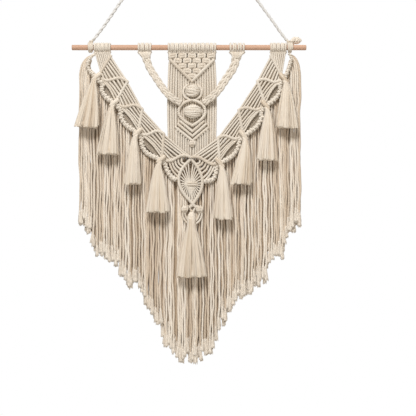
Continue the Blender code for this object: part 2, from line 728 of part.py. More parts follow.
def tassel_shell(tassel, head, outs, locks, chance):
    """A tassel's head with locks that widen down to its foot and stand apart below the head."""
    radius, height = head
    top = at(tassel.top_across, tassel.top_down, outs[0])
    foot = at(tassel.foot_across, tassel.foot_down, outs[1])
    neck_share = height / (tassel.foot_down - tassel.top_down)

    def centre(share):
        return Vector((
            top.x + (foot.x - top.x) * share**1.3, top.y + (foot.y - top.y) * share, top.z + (foot.z - top.z) * share,
        ))

    def spread(share):
        part = max(0.0, (share - neck_share) / (1 - neck_share)) ** 0.7
        return radius + (tassel.half_width - radius) * part, radius + (TASSEL_DEPTH - radius) * part

    def rim(share, angle, part=1.0):
        wide, deep = spread(share)
        return centre(share) + Vector((wide * part * math.cos(angle), -deep * part * math.sin(angle), 0))

    step = math.tau / locks
    points = []
    for share, part in ((0.0, 0.75), (neck_share * 0.35, 1.0), (neck_share, 1.0)):
        points += [rim(share, step * number, part) for number in range(locks)]
    faces = [tuple(range(locks))]
    for ring in (0, locks):
        for number in range(locks):
            following = (number + 1) % locks
            faces.append((ring + number, ring + following, ring + following + locks, ring + number + locks))
    hub = len(points)
    points.append(centre(neck_share))
    for number in range(locks):
        low, high = step * (number + LOCK_GAP), step * (number + 1 - LOCK_GAP)
        middle = (low + high) / 2
        length = 1.0 - 0.035 * chance.random()
        first = len(points)
        for share, outer, inner in ((neck_share, 0.93, 0.25), (neck_share + 0.3, 0.99, 0.45), (length, 1.0, 0.5)):
            points += [rim(share, low, outer), rim(share, high, outer), rim(share, middle, inner)]
        near, far = 2 * locks + number, 2 * locks + (number + 1) % locks
        faces += [(near, far, first + 1, first), (far, hub, first + 2, first + 1), (hub, near, first, first + 2)]
        for ring in (first, first + 3):
            for corner in range(3):
                following = (corner + 1) % 3
                faces.append((ring + corner, ring + following, ring + following + 3, ring + corner + 3))
        faces.append((first + 6, first + 7, first + 8))
    return Shell(points, faces)


def make_tassels(material, chance):
    """Four tassels on each wing, at the zigzag's outer corners, and a large one below the leaf."""
    for number, tassel in enumerate(TASSELS, start=1):
        out = wing_out(tassel.corner) + BAR_RADIUS + SEAT + SIDE_HEAD[0]
        outs = (out, out + SIDE_FOOT_FORWARD)
        solid(f"tassel_{number}", material, tassel_shell(tassel, SIDE_HEAD, outs, SIDE_LOCKS, chance))
    middle = tassel_shell(MIDDLE_TASSEL, MIDDLE_HEAD, (MIDDLE_OUT, MIDDLE_FOOT_OUT), MIDDLE_LOCKS, chance)
    solid("tassel_9", material, middle)


def main():
    """Clear the scene and make every piece."""
    for thing in list(bpy.data.objects):
        bpy.data.objects.remove(thing)
    chance = random.Random(7)
    wood = finish("pale wood", (0.62, 0.36, 0.23), 0.55)
    cotton = finish("ivory cotton", (0.80, 0.74, 0.64), 0.95)
    yarn = finish("combed cotton", (0.84, 0.77, 0.65), 0.95)
    grey = finish("hanging cord cotton", (0.78, 0.77, 0.74), 0.95)
    make_rod(wood)
    make_hanging_cord(grey)
    make_cord_knots(cotton)
    for side in ("left", "right"):
        make_wing(side, cotton)
        make_braid(side, cotton)
        make_front_fringe(side, cotton, chance)
    make_centre_panel(cotton)
    make_leaf_motif(cotton)
    make_centre_fringe(cotton, chance)
    make_back_fringe(cotton, chance)
    make_tassels(yarn, chance)


main()
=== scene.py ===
"""The looks of a macrame wall hanging: its strands, knots, tassels and finishes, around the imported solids.

Lengths are in millimetres until a mesh is made. A place on the hanging is given as across (to the right of
the panel's middle line), down (below the rod's axis) and out (from the rod's axis towards the viewer). The
frame's origin is where the hanging cord bears on its wall hook; +Z is up and the front faces -Y.
"""

from __future__ import annotations

import json
import logging
import math
import random
from collections.abc import Mapping, Sequence
from dataclasses import dataclass, field
from enum import Enum
from typing import Any, NamedTuple

import bpy
import numpy as np
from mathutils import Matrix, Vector

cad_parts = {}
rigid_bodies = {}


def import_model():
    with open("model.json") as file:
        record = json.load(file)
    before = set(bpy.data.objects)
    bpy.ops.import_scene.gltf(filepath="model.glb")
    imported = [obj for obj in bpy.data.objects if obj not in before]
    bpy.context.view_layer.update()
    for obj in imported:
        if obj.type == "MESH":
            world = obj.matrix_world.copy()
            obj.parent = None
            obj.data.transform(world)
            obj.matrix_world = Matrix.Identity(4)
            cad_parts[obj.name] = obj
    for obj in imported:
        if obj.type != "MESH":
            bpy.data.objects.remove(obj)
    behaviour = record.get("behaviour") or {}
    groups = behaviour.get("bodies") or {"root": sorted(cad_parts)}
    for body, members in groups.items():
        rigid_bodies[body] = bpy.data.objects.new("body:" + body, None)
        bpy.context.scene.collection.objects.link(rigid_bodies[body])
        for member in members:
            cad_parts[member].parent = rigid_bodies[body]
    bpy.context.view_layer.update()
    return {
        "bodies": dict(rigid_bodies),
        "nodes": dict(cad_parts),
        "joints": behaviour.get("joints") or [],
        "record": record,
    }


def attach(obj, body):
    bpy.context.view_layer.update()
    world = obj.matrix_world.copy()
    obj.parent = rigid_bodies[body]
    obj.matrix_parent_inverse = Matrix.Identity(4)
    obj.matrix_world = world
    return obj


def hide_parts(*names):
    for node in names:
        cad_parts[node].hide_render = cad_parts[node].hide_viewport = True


LOG = logging.getLogger("hanging")

MM = 0.001
HOOK_ACROSS = -8.0
HOOK_ABOVE_ROD = 268.5
ROD_RADIUS = 5.5


class Side(Enum):
    """The two halves of the hanging, as seen from the front."""

    LEFT = "left"
    RIGHT = "right"

    @property
    def outward(self) -> int:
        """The sign of a step across, away from the middle line."""
        return -1 if self is Side.LEFT else 1


class Slot(Enum):
    """The record's material slots for the cotton."""

    HANGING = "hanging_cord_cotton"
    KNOTTED = "knotted_cotton"
    FRINGE = "fringe_cotton"
    TASSEL = "tassel_cotton"


class Place(NamedTuple):
    """A place on the hanging's face."""

    across: float
    down: float


class Lay(NamedTuple):
    """The ridges on a strand: their pitch along it, how many run round together and how deep they are."""

    pitch: float
    starts: int
    depth: float


PLAIN = Lay(1.0, 0, 0.0)
TWISTED = Lay(5.6, 3, 0.09)
SMOOTH = Lay(8.0, 2, 0.04)
HITCHED = Lay(2.55, 2, 0.34)
KNOBBED = Lay(3.7, 1, 0.42)
WRAPPED = Lay(5.2, 3, 0.16)


def at(across: float, down: float, out: float = 0.0) -> Vector:
    """A place on the hanging as a point of the frame, in millimetres."""
    return Vector((across - HOOK_ACROSS, -out, -HOOK_ABOVE_ROD - down))


def smooth(points: Sequence[Vector], steps: int) -> list[Vector]:
    """Points along a smooth curve through the given ones.

    Args:
        points: The places that the curve passes through.
        steps: How many points are made in each span.

    Returns:
        The curve's points, the last place among them.
    """
    padded = [2 * points[0] - points[1], *points, 2 * points[-1] - points[-2]]
    curve = []
    for a, b, c, d in zip(padded, padded[1:], padded[2:], padded[3:]):
        for step in range(steps):
            t = step / steps
            straight = 2 * b + (c - a) * t
            curve.append(
                0.5 * (straight + (2 * a - 5 * b + 4 * c - d) * t**2 + (3 * b - a - 3 * c + d) * t**3)
            )
    return curve + [points[-1].copy()]


def evenly(points: Sequence[Vector], count: int) -> list[Vector]:
    """Points at equal distances along a path.

    Args:
        points: The path.
        count: How many points to return.

    Returns:
        The evenly spaced points, with both of the path's ends.
    """
    route = np.array(points, dtype=float)
    lengths = travelled_along(route)
    targets = np.linspace(0.0, lengths[-1], count)
    places = np.stack([np.interp(targets, lengths, route[:, axis]) for axis in range(3)], axis=1)
    return [Vector(place) for place in places]


def travelled_along(route: np.ndarray) -> np.ndarray:
    """How far along a route each of its points lies."""
    return np.concatenate([[0.0], np.cumsum(np.linalg.norm(np.diff(route, axis=0), axis=1))])


def path_length(points: Sequence[Vector]) -> float:
    """The length of a path."""
    return sum((b - a).length for a, b in zip(points, points[1:]))


def place_at(path: Sequence[Vector], share: float) -> Vector:
    """The place at a share of an evenly spaced path's length.

    Args:
        path: The path.
        share: The share of its length, from its start.

    Returns:
        The place.
    """
    spot = share * (len(path) - 1)
    low = min(int(spot), len(path) - 2)
    return path[low].lerp(path[low + 1], spot - low)


def directions(route: np.ndarray) -> tuple[np.ndarray, np.ndarray]:
    """The directions across and in front of a strand, carried along it without a twist.

    Args:
        route: The strand's centre line.

    Returns:
        The unit directions across it and in front of it, at each point.
    """
    along = np.gradient(route, axis=0)
    along /= np.linalg.norm(along, axis=1)[:, None]
    carried = np.array((0.0, -1.0, 0.0)) if abs(along[0, 1]) < 0.85 else np.array((0.0, 0.0, 1.0))
    front = np.empty_like(along)
    for index, direction in enumerate(along):
        carried = carried - direction * float(np.dot(carried, direction))
        carried = carried / np.linalg.norm(carried)
        front[index] = carried
    return np.cross(front, along), front


# ------------------------------------------------------------------------------------------ finishes


class Graph:
    """A node tree that is filled node by node."""

    def __init__(self, owner: bpy.types.Material | bpy.types.World) -> None:
        """Start with an empty tree.

        Args:
            owner: The material or the world that the tree belongs to.
        """
        owner.use_nodes = True
        self.tree = owner.node_tree
        self.tree.nodes.clear()

    def node(
        self, kind: str, settings: Mapping[str, Any] | None = None,
        inputs: Mapping[str | int, Any] | None = None,
    ) -> bpy.types.Node:
        """Add a node, with its settings first and then its sockets.

        Args:
            kind: The node's type.
            settings: The node's own settings.
            inputs: What goes into its sockets: a value, a socket or a wrapped socket.

        Returns:
            The new node.
        """
        made = self.tree.nodes.new(kind)
        for key, value in (settings or {}).items():
            setattr(made, key, value)
        for key, value in (inputs or {}).items():
            if isinstance(value, Value):
                value = value.socket
            if isinstance(value, bpy.types.NodeSocket):
                self.tree.links.new(value, made.inputs[key])
            else:
                made.inputs[key].default_value = value
        return made

    def value(self, made: bpy.types.Node, output: str | int = 0) -> Value:
        """One output of a node, ready for maths."""
        return Value(self, made.outputs[output])

    def blend(self, factor: Value, low: Any, high: Any) -> bpy.types.NodeSocket:
        """A mix of two colours.

        Args:
            factor: How much of the second colour there is.
            low: The first colour or its socket.
            high: The second colour or its socket.

        Returns:
            The colour socket of the mix.
        """
        return self.node("ShaderNodeMix", {"data_type": "RGBA"}, {0: factor, 6: low, 7: high}).outputs[2]

    def noise(self, place: bpy.types.NodeSocket, scale: float, detail: float) -> Value:
        """A noise over some places.

        Args:
            place: The socket of the places.
            scale: How fine the noise is.
            detail: How many finer layers it has.

        Returns:
            The noise, as a value about a half.
        """
        inputs = {"Vector": place, "Scale": scale, "Detail": detail}
        return self.value(self.node("ShaderNodeTexNoise", {}, inputs))

    def ranged(self, value: Value, low: float, high: float, goal: tuple[float, float] = (0.0, 1.0)) -> Value:
        """A value carried from one range to another and held inside it.

        Args:
            value: The value.
            low: The lower end of its own range.
            high: The upper end of its own range.
            goal: The range that it is carried to.

        Returns:
            The carried value.
        """
        inputs = {"Value": value, "From Min": low, "From Max": high, "To Min": goal[0], "To Max": goal[1]}
        return self.value(self.node("ShaderNodeMapRange", {}, inputs))

    def relief(self, strength: float, depth: float, height: Value) -> bpy.types.NodeSocket:
        """Fine relief on a surface.

        Args:
            strength: How strongly it shows.
            depth: How deep it is, in metres.
            height: Its height, from 0 to about 1.

        Returns:
            The socket of the normals.
        """
        inputs = {"Strength": strength, "Distance": depth, "Height": height}
        return self.node("ShaderNodeBump", {}, inputs).outputs[0]

    def surface(self, inputs: Mapping[str | int, Any]) -> None:
        """Close a material with its shader.

        Args:
            inputs: What goes into the shader's sockets.
        """
        shader = self.node("ShaderNodeBsdfPrincipled", {}, inputs)
        self.node("ShaderNodeOutputMaterial", {}, {"Surface": shader.outputs[0]})


class Value:
    """A shader socket that takes part in sums."""

    def __init__(self, graph: Graph, socket: bpy.types.NodeSocket) -> None:
        """Wrap a socket of a graph."""
        self.graph = graph
        self.socket = socket

    def _math(self, operation: str, first: Any, second: Any = 0.0) -> Value:
        """A Math node of two values, each a number or a wrapped socket."""
        made = self.graph.node("ShaderNodeMath", {"operation": operation}, {0: first, 1: second})
        return Value(self.graph, made.outputs[0])

    def __add__(self, other: Value | float) -> Value:
        """This plus the other."""
        return self._math("ADD", self, other)

    __radd__ = __add__

    def __sub__(self, other: Value | float) -> Value:
        """This less the other."""
        return self._math("SUBTRACT", self, other)

    def __rsub__(self, other: float) -> Value:
        """The other less this."""
        return self._math("SUBTRACT", other, self)

    def __mul__(self, other: Value | float) -> Value:
        """This times the other."""
        return self._math("MULTIPLY", self, other)

    __rmul__ = __mul__

    def cosine(self) -> Value:
        """Its cosine."""
        return self._math("COSINE", self)

    def sine(self) -> Value:
        """Its sine."""
        return self._math("SINE", self)

    def size(self) -> Value:
        """Its size without its sign."""
        return self._math("ABSOLUTE", self)


Colour = tuple[float, float, float, float]


class Fibres(NamedTuple):
    """Fibres as noise: how fast it runs along a strand, its shift from tone to tone, its scale and detail."""

    pace: float
    shift: float
    scale: float
    detail: float


BROAD_FIBRES = Fibres(0.22, 61.0, 2.4, 3.0)
FINE_FIBRES = Fibres(0.5, 17.0, 7.0, 2.0)


@dataclass(frozen=True)
class Cotton:
    """Matt cotton: its colours, how its fibres run round a strand, and how deep its plies are."""

    name: str
    slot: Slot
    light: Colour
    shade: Colour
    streak: Colour
    # deep: the colour that a tone between 1 and 2 is drawn towards; it is mostly painted shade, from the
    # shade on strands' fronts and at tassel lock edges
    deep: Colour = (0.40, 0.31, 0.22, 1)
    streaks: float = 0.35
    turns: float = 0.35
    plies: int = 3
    ply_depth: float = 0.0
    # how strongly painted shade darkens the creases between plies
    ply_crease_painted_shade: float = 0.35
    fibre_depth: float = 0.5
    relief_depth: float = 0.0009
    patch_scale: float = 26.0
    fuzz: float = 0.25
    fuzz_roughness: float = 0.6
    roughness: float = 0.92
    sheen_of_light: float = 0.18

    def material(self) -> bpy.types.Material:
        """The finish as a material, made once.

        Returns:
            The material of this name.
        """
        known = bpy.data.materials.get(self.name)
        if known:
            return known
        material = bpy.data.materials.new(self.name)
        graph = Graph(material)
        lay = graph.node("ShaderNodeUVMap", {"uv_map": "lay"})
        parts = graph.node("ShaderNodeSeparateXYZ", {}, {0: lay.outputs[0]})
        around, along = graph.value(parts, "X"), graph.value(parts, "Y")
        tone = graph.value(graph.node("ShaderNodeAttribute", {"attribute_name": "tone"}), "Fac")
        angle = (around + along * self.turns) * math.tau
        broad = self._fibres(graph, angle, along, tone, BROAD_FIBRES)
        fine = self._fibres(graph, angle, along, tone, FINE_FIBRES)
        ply = (angle * (self.plies / 2)).sine().size()
        height = fine * 0.35 + broad * 0.65 + ply * self.ply_depth
        graph.surface({
            "Base Color": self._colour(graph, tone, broad, ply), "Roughness": self.roughness,
            "Normal": graph.relief(self.fibre_depth, self.relief_depth, height), "Sheen Weight": self.fuzz,
            "Sheen Roughness": self.fuzz_roughness, "Specular IOR Level": self.sheen_of_light,
        })
        return material

    def _colour(self, graph: Graph, tone: Value, broad: Value, ply: Value) -> bpy.types.NodeSocket:
        """The cotton's colour: worn in patches and by the strand's tone, streaked, with painted shade where
        the tone rises above 1 and in the creases between its plies.

        Args:
            graph: The material's graph.
            tone: The strand's tone: random up to about 1, and raised above 1 by painted shade.
            broad: The noise of the broad fibres.
            ply: 1 on a ply's ridge and 0 between two plies.

        Returns:
            The colour's socket.
        """
        patches = graph.noise(graph.node("ShaderNodeTexCoord").outputs["Object"], self.patch_scale, 2.0)
        # Patches of wear and random tone, which also carry painted shade where the tone is raised
        wear_and_painted_shade = graph.ranged(broad * 0.45 + patches * 0.3 + tone * 0.35, 0.3, 0.8)
        streaked = graph.ranged(broad * 0.6 + tone * 0.5, 0.68, 0.9)
        # Painted shade in the creases between plies: the colour is drawn towards the shade colour where the
        # ply wave is low
        between = (1.0 - ply) * min(1.0, self.ply_depth * 1.6) * self.ply_crease_painted_shade
        colour = graph.blend(wear_and_painted_shade, self.light, self.shade)
        colour = graph.blend(streaked * self.streaks, colour, self.streak)
        # Painted shade: towards the deep colour where the tone rises above 1
        colour = graph.blend(graph.ranged(tone, 1.0, 2.0), colour, self.deep)
        return graph.blend(between, colour, self.shade)

    @staticmethod
    def _fibres(graph: Graph, angle: Value, along: Value, tone: Value, fibres: Fibres) -> Value:
        """Noise that is drawn out along the fibres and closes round the strand.

        Args:
            graph: The material's graph.
            angle: The angle round the strand, turned with the fibres.
            along: The place along the strand.
            tone: The strand's tone, which tells it from its neighbours.
            fibres: The fibres that the noise stands for.

        Returns:
            The noise as a value about a half.
        """
        height = along * fibres.pace + tone * fibres.shift
        place = graph.node("ShaderNodeCombineXYZ", {}, {"X": angle.cosine(), "Y": angle.sine(), "Z": height})
        return graph.noise(place.outputs[0], fibres.scale, fibres.detail)


@dataclass(frozen=True)
class Wood:
    """Smooth bare wood with fine grain along the rod."""

    name: str = "pale wood"
    light: Colour = (0.64, 0.41, 0.29, 1.0)
    dark: Colour = (0.53, 0.315, 0.205, 1.0)
    drawn_out: tuple[float, float, float] = (6.0, 160.0, 160.0)
    grain: float = 0.04
    grain_depth: float = 0.0005
    roughness: tuple[float, float] = (0.6, 0.72)

    def material(self) -> bpy.types.Material:
        """The finish as a material.

        Returns:
            The new material.
        """
        material = bpy.data.materials.new(self.name)
        graph = Graph(material)
        place = graph.node("ShaderNodeTexCoord")
        inputs = {"Vector": place.outputs["Object"], "Scale": self.drawn_out}
        drawn = graph.node("ShaderNodeMapping", {}, inputs).outputs[0]
        broad, fine = graph.noise(drawn, 1.0, 4.0), graph.noise(drawn, 5.0, 3.0)
        figure = graph.ranged(broad * 0.6 + fine * 0.4, 0.34, 0.7)
        graph.surface({
            "Base Color": graph.blend(figure, self.light, self.dark),
            "Roughness": graph.ranged(fine, 0.0, 1.0, self.roughness),
            "Normal": graph.relief(self.grain, self.grain_depth, fine),
        })
        return material


# The deep colour of each finish is the colour of its painted shade
IVORY = Cotton(
    "ivory knotted cotton", Slot.KNOTTED, light=(0.79, 0.727, 0.637, 1), shade=(0.66, 0.575, 0.47, 1),
    streak=(0.58, 0.47, 0.35, 1), deep=(0.33, 0.28, 0.22, 1), streaks=0.2, turns=0.5, fibre_depth=0.45,
)
LOOSE = Cotton(
    "loose fringe cotton", Slot.FRINGE, light=(0.93, 0.865, 0.77, 1), shade=(0.67, 0.555, 0.43, 1),
    streak=(0.56, 0.43, 0.30, 1), deep=(0.36, 0.255, 0.155, 1), turns=0.42, ply_depth=0.5, fibre_depth=0.55,
)
COMBED = Cotton(
    "combed tassel cotton", Slot.TASSEL, light=(0.84, 0.762, 0.66, 1), shade=(0.70, 0.60, 0.475, 1),
    streak=(0.57, 0.43, 0.29, 1), streaks=0.75, turns=0.05, fibre_depth=0.3,
)
ROPE = Cotton(
    "grey white hanging cotton", Slot.HANGING, light=(0.80, 0.79, 0.77, 1), shade=(0.62, 0.61, 0.59, 1),
    streak=(0.55, 0.54, 0.52, 1), streaks=0.2, turns=0.6,
)


# ------------------------------------------------------------------------------------------ strands


class Yarnwork:
    """Gathers strands into one mesh, with a map of how each lies and a tone for each."""

    SEGMENTS_TO_A_RIDGE = 3.9
    CUT_STEP = 0.04
    BEAD_RINGS = 9
    BEAD_SIDES = 14
    BEAD_POLE = 0.12

    def __init__(self, name: str, seed: int) -> None:
        """Start an empty piece.

        Args:
            name: The piece's name.
            seed: The seed of its small differences.
        """
        self.name = name
        self.chance = random.Random(seed)
        self.points: list[np.ndarray] = []
        self.tones: list[np.ndarray] = []
        self.faces: list[list[int]] = []
        self.rounded: list[bool] = []
        self.lay: list[np.ndarray] = []
        self.count = 0

    def strand(
        self, path: Sequence[Vector], radius: float | Sequence[float], lay: Lay = PLAIN, sides: int = 6,
        step: float = 5.0, flat: float = 1.0, tone: float | None = None, painted_shade: float = 0.0,
        clean_cut: bool = False,
    ) -> None:
        """Add a strand along a path.

        Args:
            path: The strand's centre line.
            radius: Its radius, or its radii at equal shares of its length.
            lay: The ridges on it.
            sides: How many sides it has.
            step: The length of each of its segments, which its ridges may make shorter.
            flat: Its depth as a share of its width.
            tone: Its tone from 0, light, to 1, dark; chosen by chance where none is given.
            painted_shade: How much painted shade darkens its front, where it lies behind other strands; it
                raises the tone on the side that faces the front.
            clean_cut: Whether it keeps its shading straight up to its end, as a yarn cut with shears.
        """
        if lay.starts:
            step = min(step, lay.pitch / self.SEGMENTS_TO_A_RIDGE)
        route = np.array(evenly(path, max(2, round(path_length(path) / step) + 1)))
        if clean_cut:
            before_cut = route[-1] + self.CUT_STEP * (route[-2] - route[-1])
            route = np.insert(route, len(route) - 1, before_cut, axis=0)
        rings = len(route)
        along = travelled_along(route)
        if isinstance(radius, (int, float)):
            radii = np.full(rings, float(radius))
        else:
            radii = np.interp(np.linspace(0, 1, rings), np.linspace(0, 1, len(radius)), radius)
        across, front = directions(route)
        theta = np.arange(sides) * math.tau / sides
        ridges = np.ones((rings, sides))
        if lay.starts:
            turned = lay.starts * theta[None, :] / math.tau
            phase = along[:, None] / lay.pitch + turned + self.chance.random()
            ridges -= lay.depth * (1 - np.sqrt(np.abs(np.sin(math.pi * phase))))
        size = radii[:, None] * ridges
        ring = (
            route[:, None, :]
            + (size * np.cos(theta))[:, :, None] * across[:, None, :]
            + (size * np.sin(theta) * flat)[:, :, None] * front[:, None, :]
        )
        own = self.chance.random() if tone is None else tone
        # Painted shade: the tone is raised on the side of the strand that faces the front, so that a strand
        # lying behind others looks shaded from the front only
        facing = -(np.cos(theta) * across[:, None, 1] + np.sin(theta) * front[:, None, 1])
        self._add_rings(ring, along, own + painted_shade * np.clip(facing + 0.3, 0, 1))

    def cord(
        self, places: Sequence[Vector], radius: float, bends: int = 5, tone: float | None = None,
        painted_shade: float = 0.0,
    ) -> None:
        """Add a twisted cord that curves through some places.

        Args:
            places: The places that it passes through.
            radius: Its radius.
            bends: How many points its curve has in each span.
            tone: Its tone, or none to choose by chance.
            painted_shade: How much painted shade darkens its front.
        """
        self.strand(smooth(places, bends), radius, TWISTED, sides=8, tone=tone, painted_shade=painted_shade)

    def hitched_bar(self, places: Sequence[Vector], radius: float = 3.3, lay: Lay = HITCHED) -> None:
        """Add a row of half hitches along some places.

        Args:
            places: The places that the row passes through.
            radius: Its radius.
            lay: The ridges of its hitches.
        """
        path = smooth(places, 8) if len(places) > 2 else list(places)
        ends = [0.8, 1.0, *[1.0] * max(2, len(path) // 3), 1.0, 0.8]
        self.strand(path, [radius * share for share in ends], lay, sides=14, step=0.7)

    def bead(self, centre: Vector, half_sizes: tuple[float, ...], tone: float) -> None:
        """Add a round bead.

        Args:
            centre: Its middle.
            half_sizes: Its half sizes along X, Y and Z.
            tone: Its tone.
        """
        polar = np.linspace(self.BEAD_POLE, math.pi - self.BEAD_POLE, self.BEAD_RINGS)
        theta = np.arange(self.BEAD_SIDES) * math.tau / self.BEAD_SIDES
        x = np.sin(polar)[:, None] * np.cos(theta)
        y = -np.sin(polar)[:, None] * np.sin(theta)
        z = np.repeat(-np.cos(polar)[:, None], self.BEAD_SIDES, axis=1)
        ring = np.stack([x, y, z], axis=-1) * np.array(half_sizes) + np.array(centre)
        self._add_rings(ring[:, ::-1], polar * max(half_sizes), tone, round_ends=True)

    def _add_rings(
        self, ring: np.ndarray, along: np.ndarray, tone: float | np.ndarray, round_ends: bool = False
    ) -> None:
        """Add the faces of a strand's rings.

        Args:
            ring: The points of each ring.
            along: Each ring's place along the strand.
            tone: The strand's tone, or the tone at each of its points.
            round_ends: Whether its ends are shaded round, and not as clean cuts.
        """
        rings, sides = ring.shape[:2]
        first = self.count
        self.points.append(ring.reshape(-1, 3))
        self.tones.append(np.broadcast_to(tone, (rings, sides)).ravel())
        self.count += rings * sides
        i, j = np.meshgrid(np.arange(rings - 1), np.arange(sides), indexing="ij")
        near, far, following = i * sides, (i + 1) * sides, (j + 1) % sides
        corners = [near + j, near + following, far + following, far + j]
        quads = np.stack(corners, axis=-1).reshape(-1, 4) + first
        self.faces += quads.tolist()
        self.rounded += [True] * len(quads) + [round_ends] * 2
        low, high = along[i] / 10, along[i + 1] / 10
        left, right = j / sides, (j + 1) / sides
        self.lay.append(np.stack([left, low, right, low, right, high, left, high], axis=-1).reshape(-1, 2))
        for start, order, place in ((0, -1, along[0]), ((rings - 1) * sides, 1, along[-1])):
            corners = [first + start + side for side in range(sides)][::order]
            self.faces.append(corners)
            self.lay.append(np.tile((0.5, place / 10), (sides, 1)))

    def build(self, finish: Cotton, node: str) -> bpy.types.Object:
        """Make the piece and hide the CAD node that it replaces.

        Args:
            finish: The finish of all its strands.
            node: The CAD node that it replaces.

        Returns:
            The new object.
        """
        mesh = bpy.data.meshes.new(self.name)
        mesh.from_pydata((np.concatenate(self.points) * MM).tolist(), [], self.faces)
        layer = mesh.uv_layers.new(name="lay")
        layer.data.foreach_set("uv", np.concatenate(self.lay).ravel())
        tones = mesh.attributes.new("tone", "FLOAT", "POINT")
        tones.data.foreach_set("value", np.concatenate(self.tones))
        mesh.polygons.foreach_set("use_smooth", self.rounded)
        mesh.materials.append(finish.material())
        piece = bpy.data.objects.new(self.name, mesh)
        bpy.context.scene.collection.objects.link(piece)
        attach(piece, "root")
        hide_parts(node)
        triangles = sum(len(face) - 2 for face in self.faces)
        LOG.info("%s: %d points, %d triangles", self.name, self.count, triangles)
        return piece


# ------------------------------------------------------------------------------------------ stage


class Lamp(NamedTuple):
    """A square soft light: its name, its place and side in metres, and its power in watts."""

    name: str
    place: tuple[float, float, float]
    side: float
    power: float


@dataclass
class Studio:
    """The camera straight in front, a pale floor and soft light."""

    picture_middle: Place = Place(32.6, 327.2)
    camera_distance: float = 2.357
    lens: float = 100.0
    sensor_width: float = 36.0
    lamps: tuple[Lamp, ...] = (
        Lamp("key", (-0.5, -2.3, 2.1), 0.9, 112.0),
        Lamp("fill", (1.3, -2.3, -0.9), 1.6, 5.0),
        Lamp("back", (0.9, 2.6, 1.2), 1.4, 62.0),
    )
    lamps_aim: tuple[float, float, float] = (0.0, 0.0, -0.55)
    sky: float = 0.3
    sky_colour: Colour = (1.0, 0.89, 0.75, 1.0)
    floor_level: float = -1.5
    floor_reach: float = 1.6
    floor_colour: Colour = (0.85, 0.85, 0.84, 1)

    def build(self) -> None:
        """Make the camera, the lights, the sky and the floor."""
        bpy.context.scene.view_settings.view_transform = "Standard"
        self._camera()
        for lamp in self.lamps:
            self._light(lamp)
        self._sky()
        self._floor()
        LOG.info("studio: camera, %d lights, sky and floor", len(self.lamps))

    def _camera(self) -> None:
        """The camera, level with the middle of the picture."""
        middle = at(*self.picture_middle) * MM
        camera = bpy.data.objects.new("camera", bpy.data.cameras.new("camera"))
        camera.data.lens = self.lens
        camera.data.sensor_width = self.sensor_width
        camera.location = (middle.x, -self.camera_distance, middle.z)
        camera.rotation_euler = (math.radians(90), 0, 0)
        bpy.context.scene.collection.objects.link(camera)
        bpy.context.scene.camera = camera

    def _light(self, lamp: Lamp) -> None:
        """Add a soft light that faces the hanging.

        Args:
            lamp: The light.
        """
        data = bpy.data.lights.new(lamp.name, "AREA")
        data.size = lamp.side
        data.energy = lamp.power
        light = bpy.data.objects.new(lamp.name, data)
        light.location = lamp.place
        aim = Vector(self.lamps_aim) - Vector(lamp.place)
        light.rotation_euler = aim.to_track_quat("-Z", "Y").to_euler()
        bpy.context.scene.collection.objects.link(light)

    def _sky(self) -> None:
        """A white sky all round, which gives a warmer and weaker light than it shows."""
        world = bpy.data.worlds.new("white sky")
        graph = Graph(world)
        seen = graph.value(graph.node("ShaderNodeLightPath"), "Is Camera Ray")
        background = graph.node("ShaderNodeBackground", {}, {
            "Color": graph.blend(seen, self.sky_colour, (1, 1, 1, 1)),
            "Strength": graph.ranged(seen, 0.0, 1.0, (self.sky, 1.0)),
        })
        graph.node("ShaderNodeOutputWorld", {}, {"Surface": background.outputs[0]})
        bpy.context.scene.world = world

    def _floor(self) -> None:
        """A plain pale floor below the hanging."""
        reach = self.floor_reach
        corners = [(-reach, -reach), (reach, -reach), (reach, reach), (-reach, reach)]
        mesh = bpy.data.meshes.new("floor")
        mesh.from_pydata([(x, y, self.floor_level) for x, y in corners], [], [(0, 1, 2, 3)])
        material = bpy.data.materials.new("pale floor")
        Graph(material).surface({"Base Color": self.floor_colour, "Roughness": 0.8})
        mesh.materials.append(material)
        floor = bpy.data.objects.new("floor", mesh)
        bpy.context.scene.collection.objects.link(floor)


# ------------------------------------------------------------------------------------------ rod and cord


@dataclass
class Rod:
    """The wooden rod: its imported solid, with a wood finish."""

    finish: Wood = field(default_factory=Wood)

    def build(self, frame: Mapping[str, Any]) -> None:
        """Dress the rod.

        Args:
            frame: What the frame's load returned.
        """
        rod = frame["nodes"]["rod"]
        rod.data.materials.clear()
        rod.data.materials.append(self.finish.material())
        LOG.info("rod: wood finish")


class Hitch(NamedTuple):
    """A hitch of the hanging cord: its CAD node, its turns' start and end across, and its knot's place."""

    node: str
    start: float
    end: float
    knot: float


